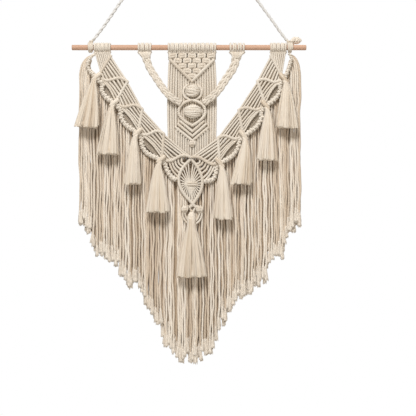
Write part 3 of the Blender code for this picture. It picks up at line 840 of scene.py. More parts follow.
@dataclass
class HangingCord:
    """The cord over the wall hook, its hitches on the rod and its frayed tail."""

    route: tuple[Place, ...] = (
        Place(-201.9, -14.9), Place(-187, -33.5), Place(-171, -56), Place(-143, -97), Place(-114, -138),
        Place(-86, -179), Place(-57, -219), Place(-36, -249), Place(-23, -264), Place(-8, -271.7),
        Place(7, -264), Place(20, -250), Place(41, -222), Place(69, -184), Place(100, -142), Place(133, -97),
        Place(163, -56), Place(179, -33.5), Place(193.1, -14.9),
    )
    width: float = 6.5
    plies: int = 2
    ply_radius: float = 2.05
    ply_turn: float = 25.0
    hitches: tuple[Hitch, ...] = (
        Hitch("cord_knot_left", -213.0, -200.3, -205.6), Hitch("cord_knot_right", 193.3, 206.6, 197.2),
    )
    hitch_radius: float = 2.5
    hitch_turns: float = 2.4
    hitch_start: float = -0.4
    rod_clearance: float = 0.5
    knot_top: float = -11.5
    knot_turns: float = 1.6
    knot_half_width: float = 2.6
    knot_half_depth: float = 2.9
    knot_radius: float = 2.0
    tie: tuple[tuple[float, float, float], ...] = ((2.0, 5.0, -1.0), (0.0, 1.0, 2.5), (3.2, -3.2, 0.4))
    tie_radius: float = 2.2
    tail_middle: tuple[float, float, float] = (213.2, -13.2, -4.0)
    tail_root: Place = Place(204.5, -7.5)
    tail_reach: float = 11.4
    tail_heart: tuple[float, float, float] = (9.6, 5.2, 7.4)
    tail_yarns: int = 190

    def build(self) -> None:
        """Make the cord, then its hitches and its tail."""
        self._cord()
        for hitch in self.hitches:
            self._hitch(hitch)
        self._tail()

    def _cord(self) -> None:
        """The plies of the cord, from hitch to hitch over the hook."""
        points = evenly(smooth([at(place.across, place.down) for place in self.route], 3), 38)
        fine = evenly(smooth(points, 12), 430)
        offset = self.width / 2 - self.ply_radius
        work = Yarnwork("hanging_rope", 3)
        spots = np.array(fine)
        across, front = directions(spots)
        travelled = np.linspace(0.0, path_length(fine), len(fine))
        for ply in range(self.plies):
            angle = math.tau * travelled / self.ply_turn + math.tau * ply / self.plies
            turned = spots + offset * (np.cos(angle)[:, None] * across + np.sin(angle)[:, None] * front)
            work.strand([Vector(spot) for spot in turned], self.ply_radius, sides=9, step=1.8)
        rope = work.build(ROPE, "hanging_cord")
        centre = [point * MM for point in points]
        path_length(centre)

    def _hitch(self, hitch: Hitch) -> None:
        """A hitch: its turns round the rod, the knot on top of them and the cord that ties it down.

        Args:
            hitch: The hitch.
        """
        work = Yarnwork(hitch.node.replace("cord_knot", "rod_hitch"), 5)
        middle = (hitch.start + hitch.end) / 2
        width = (hitch.end - hitch.start) / 2 - self.hitch_radius
        reach = ROD_RADIUS + self.rod_clearance + self.hitch_radius
        turns = []
        for step in range(64):
            share = step / 63
            angle = math.tau * self.hitch_turns * share + self.hitch_start
            across = middle - width + 2 * width * share
            turns.append(at(across, -reach * math.cos(angle), reach * math.sin(angle)))
        work.strand(turns, self.hitch_radius, TWISTED, sides=10)
        knot = []
        for step in range(40):
            angle = math.tau * self.knot_turns * step / 39
            down = self.knot_top + 1.2 * math.sin(angle * 0.5) - 1.4 + step * 0.045
            across = hitch.knot + self.knot_half_width * math.cos(angle)
            knot.append(at(across, down, self.knot_half_depth * math.sin(angle)))
        work.strand(knot, self.knot_radius, TWISTED, sides=10)
        lean = 1 if hitch.knot > 0 else -1
        tie = [at(hitch.knot - lean * inward, self.knot_top + down, out) for inward, down, out in self.tie]
        work.strand(tie, self.tie_radius, TWISTED, sides=10)
        work.build(IVORY, hitch.node)

    def _tail(self) -> None:
        """The frayed end that stands up behind the rod."""
        work = Yarnwork("frayed_tail", 8)
        chance = work.chance
        across, down, out = self.tail_middle
        root_across, root_down = self.tail_root
        for _ in range(self.tail_yarns):
            turn = chance.uniform(0, math.tau)
            reach = self.tail_reach * math.sqrt(chance.random())
            lift = self.tail_reach * chance.uniform(0.55, 1.0)
            root = at(root_across + chance.uniform(-1.5, 2.5), root_down + chance.uniform(-1, 1.5), out - 1.2)
            tip = at(
                across + reach * math.cos(turn),
                down - lift * math.sqrt(1.05 - (reach / self.tail_reach) ** 2) + 1.5,
                out + 0.6 * reach * math.sin(turn),
            )
            middle = root.lerp(tip, 0.5) + Vector((chance.uniform(-1.5, 1.5), 0, 2.2))
            tone = chance.uniform(0.0, 0.4)
            work.strand(smooth([root, middle, tip], 3), (1.0, 1.3, 0.9), sides=5, step=2.5, tone=tone)
        work.bead(at(across, down - 1.6, out), self.tail_heart, 0.1)
        work.build(LOOSE, "cord_tail")


# ------------------------------------------------------------------------------------------ knots


class Stop(NamedTuple):
    """A stop of a cord that is one of a pair: the pair's middle line, the step aside of it, down and out."""

    middle: float
    aside: float
    down: float
    out: float


def paired(way: int, *stops: Stop) -> list[Vector]:
    """The places of one cord of a pair, to the left (-1) or to the right (1) of its middle line."""
    return [at(stop.middle + way * stop.aside, stop.down, stop.out) for stop in stops]


@dataclass
class Heads:
    """A row of lark's-head knots on the rod."""

    start: float
    end: float
    cord_radius: float = 2.22
    pair_width: float = 8.9
    rod_clearance: float = 0.35
    wobble: float = 0.25
    loop: tuple[tuple[float, float, float], ...] = (
        (-1.0, 9.4, -1.0), (-0.8, 9.8, 1.6), (0.0, 10.2, 3.2), (0.8, 9.8, 1.6), (1.0, 9.4, -1.0),
    )
    loop_radius: float = 1.7

    @property
    def turns(self) -> int:
        """How many turns of cord lie side by side."""
        return 2 * max(1, round((self.end - self.start) / self.pair_width))

    @property
    def pitch(self) -> float:
        """The step from one turn to the next."""
        return (self.end - self.start - 2 * self.cord_radius) / (self.turns - 1)

    def turn_at(self, turn: int) -> float:
        """Where a turn lies, across."""
        return self.start + self.cord_radius + self.pitch * turn

    def tie(self, work: Yarnwork) -> None:
        """Add the knots to a piece: their turns over the rod, then the loops that lie across them.

        Args:
            work: The piece that they belong to.
        """
        reach = ROD_RADIUS + self.rod_clearance + self.cord_radius
        for turn in range(self.turns):
            across = self.turn_at(turn) + work.chance.uniform(-self.wobble, self.wobble)
            ring = []
            for step in range(25):
                angle = math.radians(215 + 295 * step / 24)
                sway = 0.4 * math.sin(step / 24 * math.pi) * (1 if turn % 2 else -1)
                ring.append(at(across + sway, -reach * math.cos(angle), reach * math.sin(angle)))
            ring += [at(across, reach + 2.2, 2.4), at(across * 0.998, reach + 5.0, 1.0)]
            tone = work.chance.uniform(0.0, 0.45)
            work.strand(ring, self.cord_radius, SMOOTH, sides=8, step=2.0, tone=tone)
        for pair in range(self.turns // 2):
            middle = self.turn_at(2 * pair) + self.pitch * 0.5
            loop = [at(middle + self.pitch * aside, down, out) for aside, down, out in self.loop]
            work.cord(loop, self.loop_radius)


@dataclass
class SquareKnot:
    """A square knot: two cords in its middle and two that cross over them.

    The stops of its cords are shares of its half width, half height and front.
    """

    centre: Vector
    half_width: float = 8.1
    half_height: float = 5.5
    radius: float = 2.4
    front: float = 2.6
    slant: float = 0.34
    rise: float = 0.37
    crossing: tuple[tuple[float, float], ...] = (
        (-0.8, 0.0), (-0.5, 0.75), (0.0, 1.15), (0.5, 0.75), (0.8, 0.0),
    )
    loop: tuple[tuple[float, float, float], ...] = (
        (0.36, 0.95, 0.0), (0.64, 0.8, 0.6), (0.86, 0.3, 0.85),
        (0.86, -0.3, 0.85), (0.64, -0.8, 0.6), (0.36, -0.95, 0.0),
    )
    core: tuple[tuple[float, float, float], ...] = (
        (0.5, 1.6, -0.3), (0.28, 1.0, 0.2), (0.24, 0.0, 0.3), (0.28, -1.0, 0.2), (0.5, -1.6, -0.3),
    )

    def tie(self, work: Yarnwork) -> None:
        """Add the knot to a piece.

        Args:
            work: The piece that it belongs to.
        """
        work.bead(self.centre, (self.half_width * 0.84, self.radius, self.half_height * 0.86), 0.6)
        slant = self.slant if work.chance.random() < 0.5 else -self.slant
        for way in (1, -1):
            crossing = [
                self._spot(x, self.rise * way * (1 - 0.25 * x * x) + slant * x, out)
                for x, out in self.crossing
            ]
            work.cord(crossing, self.radius * 1.12, 4, work.chance.uniform(0.5, 1.0))
        for way in (-1, 1):
            work.cord([self._spot(x * way, z, out) for x, z, out in self.loop], self.radius * 0.86, 3)
            work.cord([self._spot(x * way, z, out) for x, z, out in self.core], self.radius, 3)

    def _spot(self, x: float, z: float, out: float) -> Vector:
        """A place in the knot, by shares of its half width, half height and front."""
        return self.centre + Vector((x * self.half_width, -out * self.front, z * self.half_height))


@dataclass
class Berry:
    """A berry knot: a ball of crossings, one below another."""

    centre: Vector
    half_sizes: tuple[float, float, float]
    crossings: int = 7
    heart: float = 0.93
    highest: float = 0.86
    turned: float = math.radians(100)
    tilted: float = math.radians(74)

    def tie(self, work: Yarnwork) -> None:
        """Add the knot to a piece.

        Args:
            work: The piece that it belongs to.
        """
        chance = work.chance
        work.bead(self.centre, tuple(self.heart * size for size in self.half_sizes), 0.15)
        for row in range(self.crossings):
            level = -self.highest + 2 * self.highest * row / (self.crossings - 1)
            level += chance.uniform(-0.06, 0.06)
            slant = chance.uniform(-0.4, 0.4)
            lift = 0.84 + 0.04 * (row % 2)
            path = [
                self._spot(share, level * (1 - 0.72 * share**2) + slant * (share - share**3), lift)
                for share in (-0.98, -0.7, -0.4, -0.15, 0.15, 0.4, 0.7, 0.98)
            ]
            size = chance.uniform(0.92, 1.1)
            radii = [size * wide for wide in (1.5, 2.1, 2.5, 2.7, 2.5, 2.1, 1.5)]
            work.strand(smooth(path, 4), radii, TWISTED, sides=12, step=1.3, tone=chance.uniform(0.0, 0.4))
        for way in (-1, 1):
            rounded = ((0.82, 0.55), (1.0, 0.0), (0.82, -0.55))
            sides = [self._spot(way * share, level, 0.9) for share, level in rounded]
            work.strand(smooth(sides, 4), 2.3, TWISTED, sides=10, tone=0.1)

    def _spot(self, share: float, level: float, lift: float) -> Vector:
        """A place on the ball.

        Args:
            share: How far round it is, as a share of the half turn that the crossings cover.
            level: How high it is, as a share of the tilt up to the highest crossing.
            lift: How far from the ball's middle it is, as a share of the ball's size.

        Returns:
            The place.
        """
        turn, tilt = share * self.turned, level * self.tilted
        wide, deep, high = self.half_sizes
        return self.centre + lift * Vector((
            wide * math.cos(tilt) * math.sin(turn),
            -deep * math.cos(tilt) * math.cos(turn),
            high * math.sin(tilt),
        ))


# ------------------------------------------------------------------------------------------ wings


ZIGZAG = {
    Side.LEFT: (
        Place(-165, 17), Place(-191, 59), Place(-131, 70), Place(-156, 112), Place(-101, 126),
        Place(-109, 172), Place(-57, 176), Place(-61, 227), Place(-3.4, 223.5),
    ),
    Side.RIGHT: (
        Place(160, 17), Place(185, 62), Place(133, 69), Place(149, 117), Place(95, 128),
        Place(104, 178), Place(53, 184), Place(56, 234), Place(-0.6, 223.5),
    ),
}
WING_OUT_TOP = 4.0
WING_OUT_ARCH = 7.0


def wing_out(corner: float) -> float:
    """How far out a zigzag corner of a wing lies."""
    return WING_OUT_TOP + (WING_OUT_ARCH - WING_OUT_TOP) * corner / 8


@dataclass
class Wing:
    """A band of cords crossed by a zigzag of bars, from the rod to the arch."""

    side: Side
    heads: Heads
    cords: int = 7
    thickest_cord: float = 2.25
    crowding: tuple[float, float] = (0.385, 0.345)
    shortest_cord: float = 6.0
    bar_bow: float = -0.5
    bar_swing: float = 5.0
    bar_overlap: float = 0.03
    band_bow: float = -3.5
    behind: float = 0.4
    second_layer: float = 4.0
    hollow_bows: tuple[float, ...] = (-3.4, 0.0, 3.4, 6.8)
    hollow_depth: float = 6.0
    first_reach: float = 0.72

    def build(self) -> None:
        """Make the wing's heads, bars and bands."""
        work = Yarnwork(f"wing_{self.side.value}_work", 11 + self.side.outward)
        self.heads.tie(work)
        bars = len(ZIGZAG[self.side]) - 1
        for bar in range(bars):
            shares = [(1 + 2 * self.bar_overlap) * step / 6 - self.bar_overlap for step in range(7)]
            work.hitched_bar([self._on_bar(bar, share) for share in shares])
        for bar in range(bars - 1):
            self._band(work, bar)
        self._from_rod(work)
        work.build(IVORY, f"wing_{self.side.value}")

    def _on_bar(self, bar: int, share: float) -> Vector:
        """A place on the bar from one corner to the next, which dips and then rises where it runs across.

        Args:
            bar: The number of the bar, which is that of its first corner.
            share: How far along the bar the place is.

        Returns:
            The place.
        """
        a, b = ZIGZAG[self.side][bar], ZIGZAG[self.side][bar + 1]
        bow = 0.0
        if abs(b.across - a.across) > 1.5 * abs(b.down - a.down):
            bow = self.bar_bow * math.sin(math.pi * share) - self.bar_swing * math.sin(math.tau * share)
        return at(
            a.across + (b.across - a.across) * share, a.down + (b.down - a.down) * share - bow,
            wing_out(bar) + (wing_out(bar + 1) - wing_out(bar)) * share,
        )

    def _band(self, work: Yarnwork, bar: int) -> None:
        """The cords in the triangle between a bar and the next one, in two layers, the second with painted
        shade on its fronts.

        Every second triangle is open to the outside. Its cords bow, and some more run behind its open side,
        with painted shade on their fronts.

        Args:
            work: The wing's piece.
            bar: The number of the upper bar.
        """
        start, end = self._on_bar(bar, 0), self._on_bar(bar + 1, 1)
        along = (end - start).normalized()
        corner = self._on_bar(bar, 1) - start
        reach = (corner - along * corner.dot(along)).length
        open_outside = bar % 2
        cords = self.cords + 1 - open_outside
        radius = min(self.thickest_cord, self.crowding[open_outside] * reach / cords)
        outward = Vector((self.side.outward, 0, -0.5))
        for layer in range(2):
            back = Vector((0, self.behind + self.second_layer * layer, 0))
            # The second layer carries painted shade on its fronts
            lay, painted_shade = (PLAIN, 1.35) if layer else (TWISTED, 0.0)
            for number in range(1, cords + 1):
                share = (number - 0.35 - 0.5 * layer) / cords
                if share * (end - start).length < self.shortest_cord:
                    continue
                upper = self._on_bar(bar, 1 - share) + back
                lower = self._on_bar(bar + 1, share) + back
                bow = self.band_bow * max(0.0, 2 * share - 1) if open_outside else 0.0
                jitter = Vector((work.chance.uniform(-0.4, 0.4), work.chance.uniform(-0.4, 0.4), 0))
                path = smooth([upper, upper.lerp(lower, 0.5) + outward * bow + jitter, lower], 6)
                tone = work.chance.uniform(0.0, 0.7)
                work.strand(path, radius, lay, sides=8, step=4, tone=tone, painted_shade=painted_shade)
        # Cords behind the open side, with painted shade on their fronts so that the hollow reads as shadow
        for bow in self.hollow_bows if open_outside else ():
            path = [start, start.lerp(end, 0.5) + outward * bow, end]
            lowered = [place + Vector((0, self.behind + self.hollow_depth, 0)) for place in path]
            work.cord(lowered, 1.95, 6, 0.35, 1.45)

    def _from_rod(self, work: Yarnwork) -> None:
        """The cords from the lark's heads, which slant down to the first bar, with a cord behind each gap
        between them that carries painted shade on its front.

        Args:
            work: The wing's piece.
        """
        turns = self.heads.turns
        for turn in range(turns):
            across = self.heads.turn_at(turn)
            from_inside = (turns - 1 - turn if self.side is Side.LEFT else turn) / (turns - 1)
            foot = self._on_bar(0, 0.06 + self.first_reach * from_inside) + Vector((0, self.behind, 0))
            path = [at(across, 6.8, 4.4), at(across - self.side.outward * 0.8, 11.5, 3.2), foot]
            work.cord(path, 1.85, 4, work.chance.uniform(0.0, 0.5))
            # A cord behind the gap to the next one, with painted shade on its front
            if turn < turns - 1:
                aside = Vector((self.heads.pitch / 2, self.second_layer, 0))
                between = [place + aside for place in smooth(path, 4)]
                work.strand(between, 2.1, sides=8, step=5, tone=0.4, painted_shade=1.1)


# ------------------------------------------------------------------------------------------ centre panel


class Chevron(NamedTuple):
    """A chevron of two bars: its half width, and how far down its ends and its point are."""

    half_width: float
    ends: float
    point: float


@dataclass
class Panel:
    """The centre panel: heads, net, V, cords, two berries, a ring and three chevrons."""

    heads: Heads
    net_rows: int = 5
    net_pitch: float = 19.4
    net_first_row: float = 17.4
    net_row_step: float = 10.3
    net_out: float = 0.6
    net_back: float = -5.2
    v_corner: Place = Place(45.0, 24.5)
    v_tip: float = 68.8
    cords: int = 20
    cord_pitch: float = 4.86
    cord_radius: float = 2.3
    cords_out: float = -2.0
    layer_step: float = 3.2
    bulge: float = 0.05
    bulge_from: float = 29.0
    bottom: float = 224.0
    ring_out: float = 3.4
    chevrons: tuple[Chevron, ...] = (Chevron(25, 149.5, 172), Chevron(30, 155, 181.5), Chevron(34, 162, 191))
    chevron_cords: int = 7

    def build(self) -> None:
        """Make the panel."""
        work = Yarnwork("centre_panel_work", 21)
        self.heads.tie(work)
        self._net(work)
        self._hanging_cords(work)
        self._v(work)
        Berry(at(1, 88.5, 3.6), (14.6, 8.8, 13.4)).tie(work)
        Berry(at(1.5, 131, 4.6), (19.0, 10.0, 14.6)).tie(work)
        self._ring(work)
        for width, ends, point in self.chevrons:
            for way in (-1, 1):
                work.hitched_bar(paired(way, Stop(0, width, ends, 1.4), Stop(1, -0.9, point, 4.6)), 3.1)
        self._below_chevrons(work)
        SquareKnot(at(0.5, 195, 3.0), half_width=5.2, half_height=4.4).tie(work)
        work.build(IVORY, "centre_panel")

    def _v_at(self, across: float) -> float:
        """How far down the V lies at a place across."""
        return self.v_tip - (self.v_tip - self.v_corner.down) * abs(across) / self.v_corner.across

    def _net(self, work: Yarnwork) -> None:
        """Square knots in rows of five down to one, with slanting cords between them and upright cords
        behind, whose fronts carry painted shade where they show through the holes.

        Args:
            work: The panel's piece.
        """
        for row in range(self.net_rows):
            knots = self.net_rows - row
            down = self.net_first_row + self.net_row_step * row
            for number in range(knots):
                across = self.net_pitch * (number - (knots - 1) / 2)
                SquareKnot(at(across, down, self.net_out)).tie(work)
                for way in (-1, 1):
                    outermost = number == (0 if way < 0 else knots - 1)
                    for spread in (0.0, 2.6):
                        reach = 5.0 if outermost else self.net_pitch / 2 - 1.2 + spread
                        slanting = paired(
                            way, Stop(across, 6.4 - spread * 0.4, down + 2.6, 1.0),
                            Stop(across, reach, down + self.net_row_step - 3, 0.4),
                        )
                        work.strand(slanting, 2.1, TWISTED, sides=8, tone=work.chance.uniform(0.4, 1.0))
        # Upright cords behind the net, with painted shade on their fronts where they show through the holes
        for number in range(self.cords):
            across = self.cord_pitch * (number - (self.cords - 1) / 2)
            down = max(self._v_at(across), 12) + 1
            behind = [at(across, 7, self.net_back), at(across, down, self.net_back)]
            work.strand(behind, 2.5, step=8, tone=0.4, painted_shade=1.3)

    def _v(self, work: Yarnwork) -> None:
        """The two bars of the V, each with the cord that comes down to it from the outermost head.

        Args:
            work: The panel's piece.
        """
        for way in (-1, 1):
            work.cord(paired(
                way, Stop(0, 47.5, 8, 2.5), Stop(0, 45.5, 14, 1.6), Stop(0, 44.5, 19, 0.8),
                Stop(0, 45.5, 25, -0.5),
            ), 2.6, 4)
            work.hitched_bar(paired(
                way, Stop(0, self.v_corner.across + 0.6, self.v_corner.down - 0.6, 1.4),
                Stop(0, 22, 47.2, 1.9),
                Stop(0, -0.8, self.v_tip + 0.8, 1.6),
            ), 3.9)

    def _hanging_cords(self, work: Yarnwork) -> None:
        """The upright cords from the V to the arch, in two layers, the back one with painted shade on its
        fronts.

        Args:
            work: The panel's piece.
        """
        chance = work.chance
        for layer in range(2):
            out = self.cords_out - self.layer_step * layer
            # The back layer carries painted shade on its fronts
            lay, painted_shade = (PLAIN, 1.2) if layer else (TWISTED, 0.0)
            for number in range(self.cords - layer):
                across = self.cord_pitch * (number - (self.cords - 1 - layer) / 2)
                top = self._v_at(across)
                inward = -1.0 if across > 0 else 1.0
                path = [
                    at(across + 4.6 * inward, top + 3.0, out + 2.0),
                    at(across + 1.3 * inward, top + 5.6, out + 2.4), at(across, top + 12, out + 0.6),
                ]
                for share in (0.25, 0.5, 0.75):
                    outermost = abs(across) > self.bulge_from
                    lean = math.sin(share * math.pi) * self.bulge * across if outermost else 0.0
                    path.append(at(
                        across + lean + chance.uniform(-0.3, 0.3), top + (self.bottom - top) * share,
                        out + chance.uniform(-0.5, 0.5),
                    ))
                path.append(at(across, self.bottom + 7 * layer, out))
                tone = chance.uniform(0.0, 0.6)
                work.strand(smooth(path, 5), self.cord_radius, lay, sides=8, step=4, tone=tone, painted_shade=painted_shade)

    def _below_chevrons(self, work: Yarnwork) -> None:
        """The short cords from under the lowest chevron to the arch.

        Args:
            work: The panel's piece.
        """
        lowest = self.chevrons[-1]
        for way in (-1, 1):
            for number in range(self.chevron_cords):
                aside = 2.6 + 4.7 * number
                top = lowest.point - (lowest.point - lowest.ends) * aside / lowest.half_width
                work.cord(paired(
                    way, Stop(0, aside - 2.6, top + 1.0, 2.4), Stop(0, aside - 0.4, top + 4.6, 2.2),
                    Stop(0, aside + 0.4, top + 12, 0.8), Stop(0, aside + 0.6, self.bottom, 0.6),
                ), 2.15, tone=work.chance.uniform(0, 0.5))

    def _ring(self, work: Yarnwork) -> None:
        """The bars round the lower berry and the two arms above it.

        Args:
            work: The panel's piece.
        """
        for way in (-1, 1):
            work.hitched_bar(paired(
                way, Stop(0, -1, 106.5, 2.6), Stop(0, 15.5, 112.5, self.ring_out),
                Stop(0, 25.5, 123, self.ring_out), Stop(0, 26, 137, self.ring_out), Stop(0, 15.5, 149.5, 3.6),
                Stop(1, -0.8, 160, 4.4),
            ), lay=KNOBBED)
            work.hitched_bar(paired(
                way, Stop(1, 10, 75.5, 0.8), Stop(1, 18.5, 87, 1.6), Stop(1, 15.5, 100.5, 2.0),
                Stop(1, -1, 109, 2.4),
            ), 2.6)


# ------------------------------------------------------------------------------------------ braids


class BraidStation(NamedTuple):
    """A place on a braid and its half width there."""

    across: float
    down: float
    out: float
    half_width: float


BRAID_STATIONS = {
    Side.LEFT: (
        BraidStation(-97, 9, 1, 11), BraidStation(-93, 22, 3, 7.4), BraidStation(-86, 42, 4, 7.2),
        BraidStation(-71, 66, 6, 7.2), BraidStation(-55, 89, 9, 7.2), BraidStation(-41, 103, 9.0, 7.2),
        BraidStation(-23, 114, 4.6, 6.4),
    ),
    Side.RIGHT: (
        BraidStation(92, 9, 1, 11), BraidStation(90, 22, 3, 8.4), BraidStation(84, 42, 4, 8.3),
        BraidStation(69, 65, 6, 8.2), BraidStation(55, 86, 9, 8), BraidStation(41, 101, 9.0, 7.8),
        BraidStation(24, 113.5, 4.6, 6.8),
    ),
}


@dataclass
class Braid:
    """A flat plait of doubled cords from its own lark's heads to the ring."""

    side: Side
    heads: Heads
    crossing: float = 21.5
    cord_radius: float = 2.6
    strands: int = 3
    lift: float = 1.7
    gathered: int = 7

    def build(self) -> None:
        """Make the braid, its heads and the cords that gather from them."""
        work = Yarnwork(f"braid_{self.side.value}_work", 31)
        self.heads.tie(work)
        self._plait(work)
        below_heads = BRAID_STATIONS[self.side][1].across
        span = self.heads.end - self.heads.start
        for number in range(self.gathered):
            share = number / (self.gathered - 1) - 0.5
            top = at(self.heads.start + span * (0.5 + 0.86 * share), 10, 3.2)
            foot = at(below_heads + share * 9, 23, 3.4 + 1.5 * math.cos(share * 3))
            work.cord([top, top.lerp(foot, 0.5) + Vector((0, -1.2, 1.0)), foot], self.cord_radius, 4)
        work.build(IVORY, f"braid_{self.side.value}")

    def _plait(self, work: Yarnwork) -> None:
        """The braid's doubled strands, which pass over and under one another.

        Args:
            work: The braid's piece.
        """
        stations = BRAID_STATIONS[self.side]
        centres = evenly(smooth([at(one.across, one.down, one.out) for one in stations], 12), 160)
        spots = np.array(centres)
        across, front = directions(spots)
        spread = np.linspace(0, len(stations) - 1, len(centres))
        widths = np.interp(spread, range(len(stations)), [one.half_width for one in stations])
        room = np.clip(widths - self.cord_radius * 1.7, 1.0, None)
        travelled = np.linspace(0.0, path_length(centres), len(centres))
        for strand in range(self.strands):
            phase = math.tau * (travelled / self.crossing / 2 + strand / self.strands)
            lift = self.lift * np.sin(2 * phase) + 0.3
            for half in (-1, 1):
                sway = room * np.sin(phase) + half * self.cord_radius * 0.9
                line = spots + sway[:, None] * across + lift[:, None] * front
                path = [Vector(spot) for spot in line]
                work.strand(path, self.cord_radius, SMOOTH, sides=8, step=1.6, tone=0.15)


# ------------------------------------------------------------------------------------------ leaf


LEAF_OUT = 4.6


class Run(NamedTuple):
    """A cord's run from its top to its foot."""

    top: Place
    foot: Place


@dataclass
class Leaf:
    """The pointed leaf below the arch, with its gathered cords and the knots at its tip."""

    outline: Mapping[Side, tuple[Place, ...]] = field(default_factory=lambda: {
        Side.LEFT: (
            Place(-2.6, 227.6), Place(-20, 247), Place(-27, 269), Place(-20, 293), Place(2, 319),
            Place(10, 327),
        ),
        Side.RIGHT: (
            Place(-1.3, 227.7), Place(13, 247), Place(21, 271), Place(17, 294), Place(1.6, 319.4),
            Place(-6, 327),
        ),
    })
    side_cords: Mapping[Side, tuple[Run, ...]] = field(default_factory=lambda: {
        Side.LEFT: (
            Run(Place(-47.5, 229.5), Place(-27.5, 265)), Run(Place(-41, 229), Place(-26, 256)),
            Run(Place(-34.5, 228.5), Place(-23, 249)), Run(Place(-28, 228.3), Place(-18.5, 243)),
            Run(Place(-21, 228), Place(-14, 238)),
        ),
        Side.RIGHT: (
            Run(Place(47.5, 237.5), Place(22, 275)), Run(Place(42, 236), Place(21.5, 267)),
            Run(Place(35.5, 234.5), Place(18.5, 258)), Run(Place(29, 233), Place(15.5, 250)),
            Run(Place(22.5, 231.5), Place(10.5, 242.5)), Run(Place(16, 230.5), Place(8, 238)),
        ),
    })
    bar_radius: float = 3.4
    side_radius: float = 2.25
    side_bow: float = 3.6
    fan: int = 7
    fan_radius: float = 1.3
    gather: Place = Place(-4, 278)
    gather_step: float = 0.7
    upper_fan: tuple[float, float] = (0.06, 0.42)
    lower_fan: tuple[float, float] = (0.88, -0.34)
    wraps: tuple[float, ...] = (276.5, 280.0)
    wrap: tuple[tuple[float, float, float], ...] = (
        (-10, 1, -0.5), (-6, 0, 2.2), (1, -0.4, 2.8), (8, 0, 2.2), (12, 1, -0.5),
    )
    wrap_radius: float = 1.9
    tip_knots: tuple[Place, ...] = (Place(-14.5, 329.5), Place(15.0, 330.0))
    tip_radius: float = 2.2
    tip_loops: tuple[Place, ...] = (Place(18.6, 0.0), Place(13.6, -2.0))
    tip_loop_radius: float = 2.1

    def build(self) -> None:
        """Make the leaf."""
        work = Yarnwork("leaf_work", 41)
        curves = {side: self._side(work, side) for side in self.outline}
        for side, curve in curves.items():
            self._fan(work, side, curve)
        for down in self.wraps:
            wrap = [at(across, down + drop, LEAF_OUT + out) for across, drop, out in self.wrap]
            work.cord(wrap, self.wrap_radius)
        self._tip(work)
        work.build(IVORY, "leaf_motif")

    def _side(self, work: Yarnwork, side: Side) -> list[Vector]:
        """One side's bar and the cords that come to it from the arch.

        Args:
            work: The leaf's piece.
            side: The side.

        Returns:
            The bar's line.
        """
        outline = [at(place.across, place.down, LEAF_OUT) for place in self.outline[side]]
        work.hitched_bar(outline, self.bar_radius)
        for run in self.side_cords[side]:
            top, foot = at(run.top.across, run.top.down - 0.5, LEAF_OUT), at(*run.foot, LEAF_OUT)
            hidden = at(run.top.across - side.outward * 0.6, run.top.down - 5.5, LEAF_OUT - 2.0)
            middle = top.lerp(foot, 0.55) + Vector((side.outward * self.side_bow, 0, -1.0))
            work.cord([hidden, top, middle, foot], self.side_radius)
        return evenly(smooth(outline, 10), 60)

    def _fan(self, work: Yarnwork, side: Side, curve: Sequence[Vector]) -> None:
        """One side's cords, gathered under the wraps and fanned out up and down to the bar.

        Args:
            work: The leaf's piece.
            side: The side.
            curve: The bar's line.
        """
        back = Vector((0, 0.5, 0))
        for number in range(self.fan):
            aside = side.outward * (0.5 + self.gather_step * number)
            gather = at(self.gather.across + aside, self.gather.down, LEAF_OUT + 0.4)
            for start, span in (self.upper_fan, self.lower_fan):
                outer = place_at(curve, start + span * number / (self.fan - 1)) + back
                ends = [outer, gather] if span > 0 else [gather, outer]
                work.strand(ends, self.fan_radius, TWISTED, sides=8, tone=0.0)

    def _tip(self, work: Yarnwork) -> None:
        """The knots at the leaf's tip, with the cords that join them over the large tassel.

        Args:
            work: The leaf's piece.
        """
        for knot in self.tip_knots:
            SquareKnot(at(*knot, 2.8), half_width=6.2, half_height=4.4).tie(work)
        for way in (-1, 1):
            work.cord(paired(
                way, Stop(1, 3, 320, 3.0), Stop(1, 5.5, 326, 3.4), Stop(0.5, 2.0, 334, 4.2),
                Stop(-1, 2.0, 345, 5.0),
            ), self.tip_radius)
            work.cord(paired(
                way, Stop(1, 8, 322, 1.4), Stop(1, 13.0, 327, 1.8), Stop(1, 15.5, 330, 2.2),
            ), self.tip_radius, 4)
            for reach, drop in self.tip_loops:
                work.cord(paired(
                    way, Stop(0.5, reach - 1.5, 332, 2.4), Stop(0.5, reach + 1.0, 341 + drop, 2.0),
                    Stop(0.5, reach - 2.0, 350 + drop, 2.6), Stop(0.5, reach - 8, 357 + drop, 4.6),
                    Stop(-1, 3, 361 + drop, 6.0),
                ), self.tip_loop_radius)


# ------------------------------------------------------------------------------------------ fringe


class Hem(NamedTuple):
    """How far down the fringe reaches at a place across."""

    across: float
    down: float


HEMLINE = (
    Hem(-232, 362), Hem(-204, 392), Hem(-196, 432), Hem(-160, 444), Hem(-130, 494), Hem(-104, 504),
    Hem(-76, 562), Hem(-62, 588), Hem(-57, 622), Hem(-14, 648), Hem(16, 648), Hem(42, 628), Hem(47, 598),
    Hem(66, 566), Hem(72, 546), Hem(120, 508), Hem(150, 480), Hem(156, 450), Hem(182, 438), Hem(191, 396),
    Hem(224, 362),
)


def hem_at(across: float) -> float:
    """How far down the fringe reaches at a place across."""
    return float(np.interp(across, [one.across for one in HEMLINE], [one.down for one in HEMLINE]))


def down_on(path: Sequence[Vector], x: float) -> Vector | None:
    """The lowest point of a path at a place along X.

    Args:
        path: The path.
        x: The place along X.

    Returns:
        The point, or none beyond the path's ends.
    """
    found = None
    for a, b in zip(path, path[1:]):
        low, high = sorted((a.x, b.x))
        if low <= x <= high and high > low:
            place = a.lerp(b, (x - a.x) / (b.x - a.x))
            if found is None or place.z < found.z:
                found = place
    return found


class Wave(NamedTuple):
    """A slow wave down a cord: its length, where it starts and its size."""

    length: float
    start: float
    size: float

    def at(self, down: float) -> float:
        """How far the wave carries the cord aside at a place down."""
        return self.size * math.sin(down / self.length * math.tau + self.start)


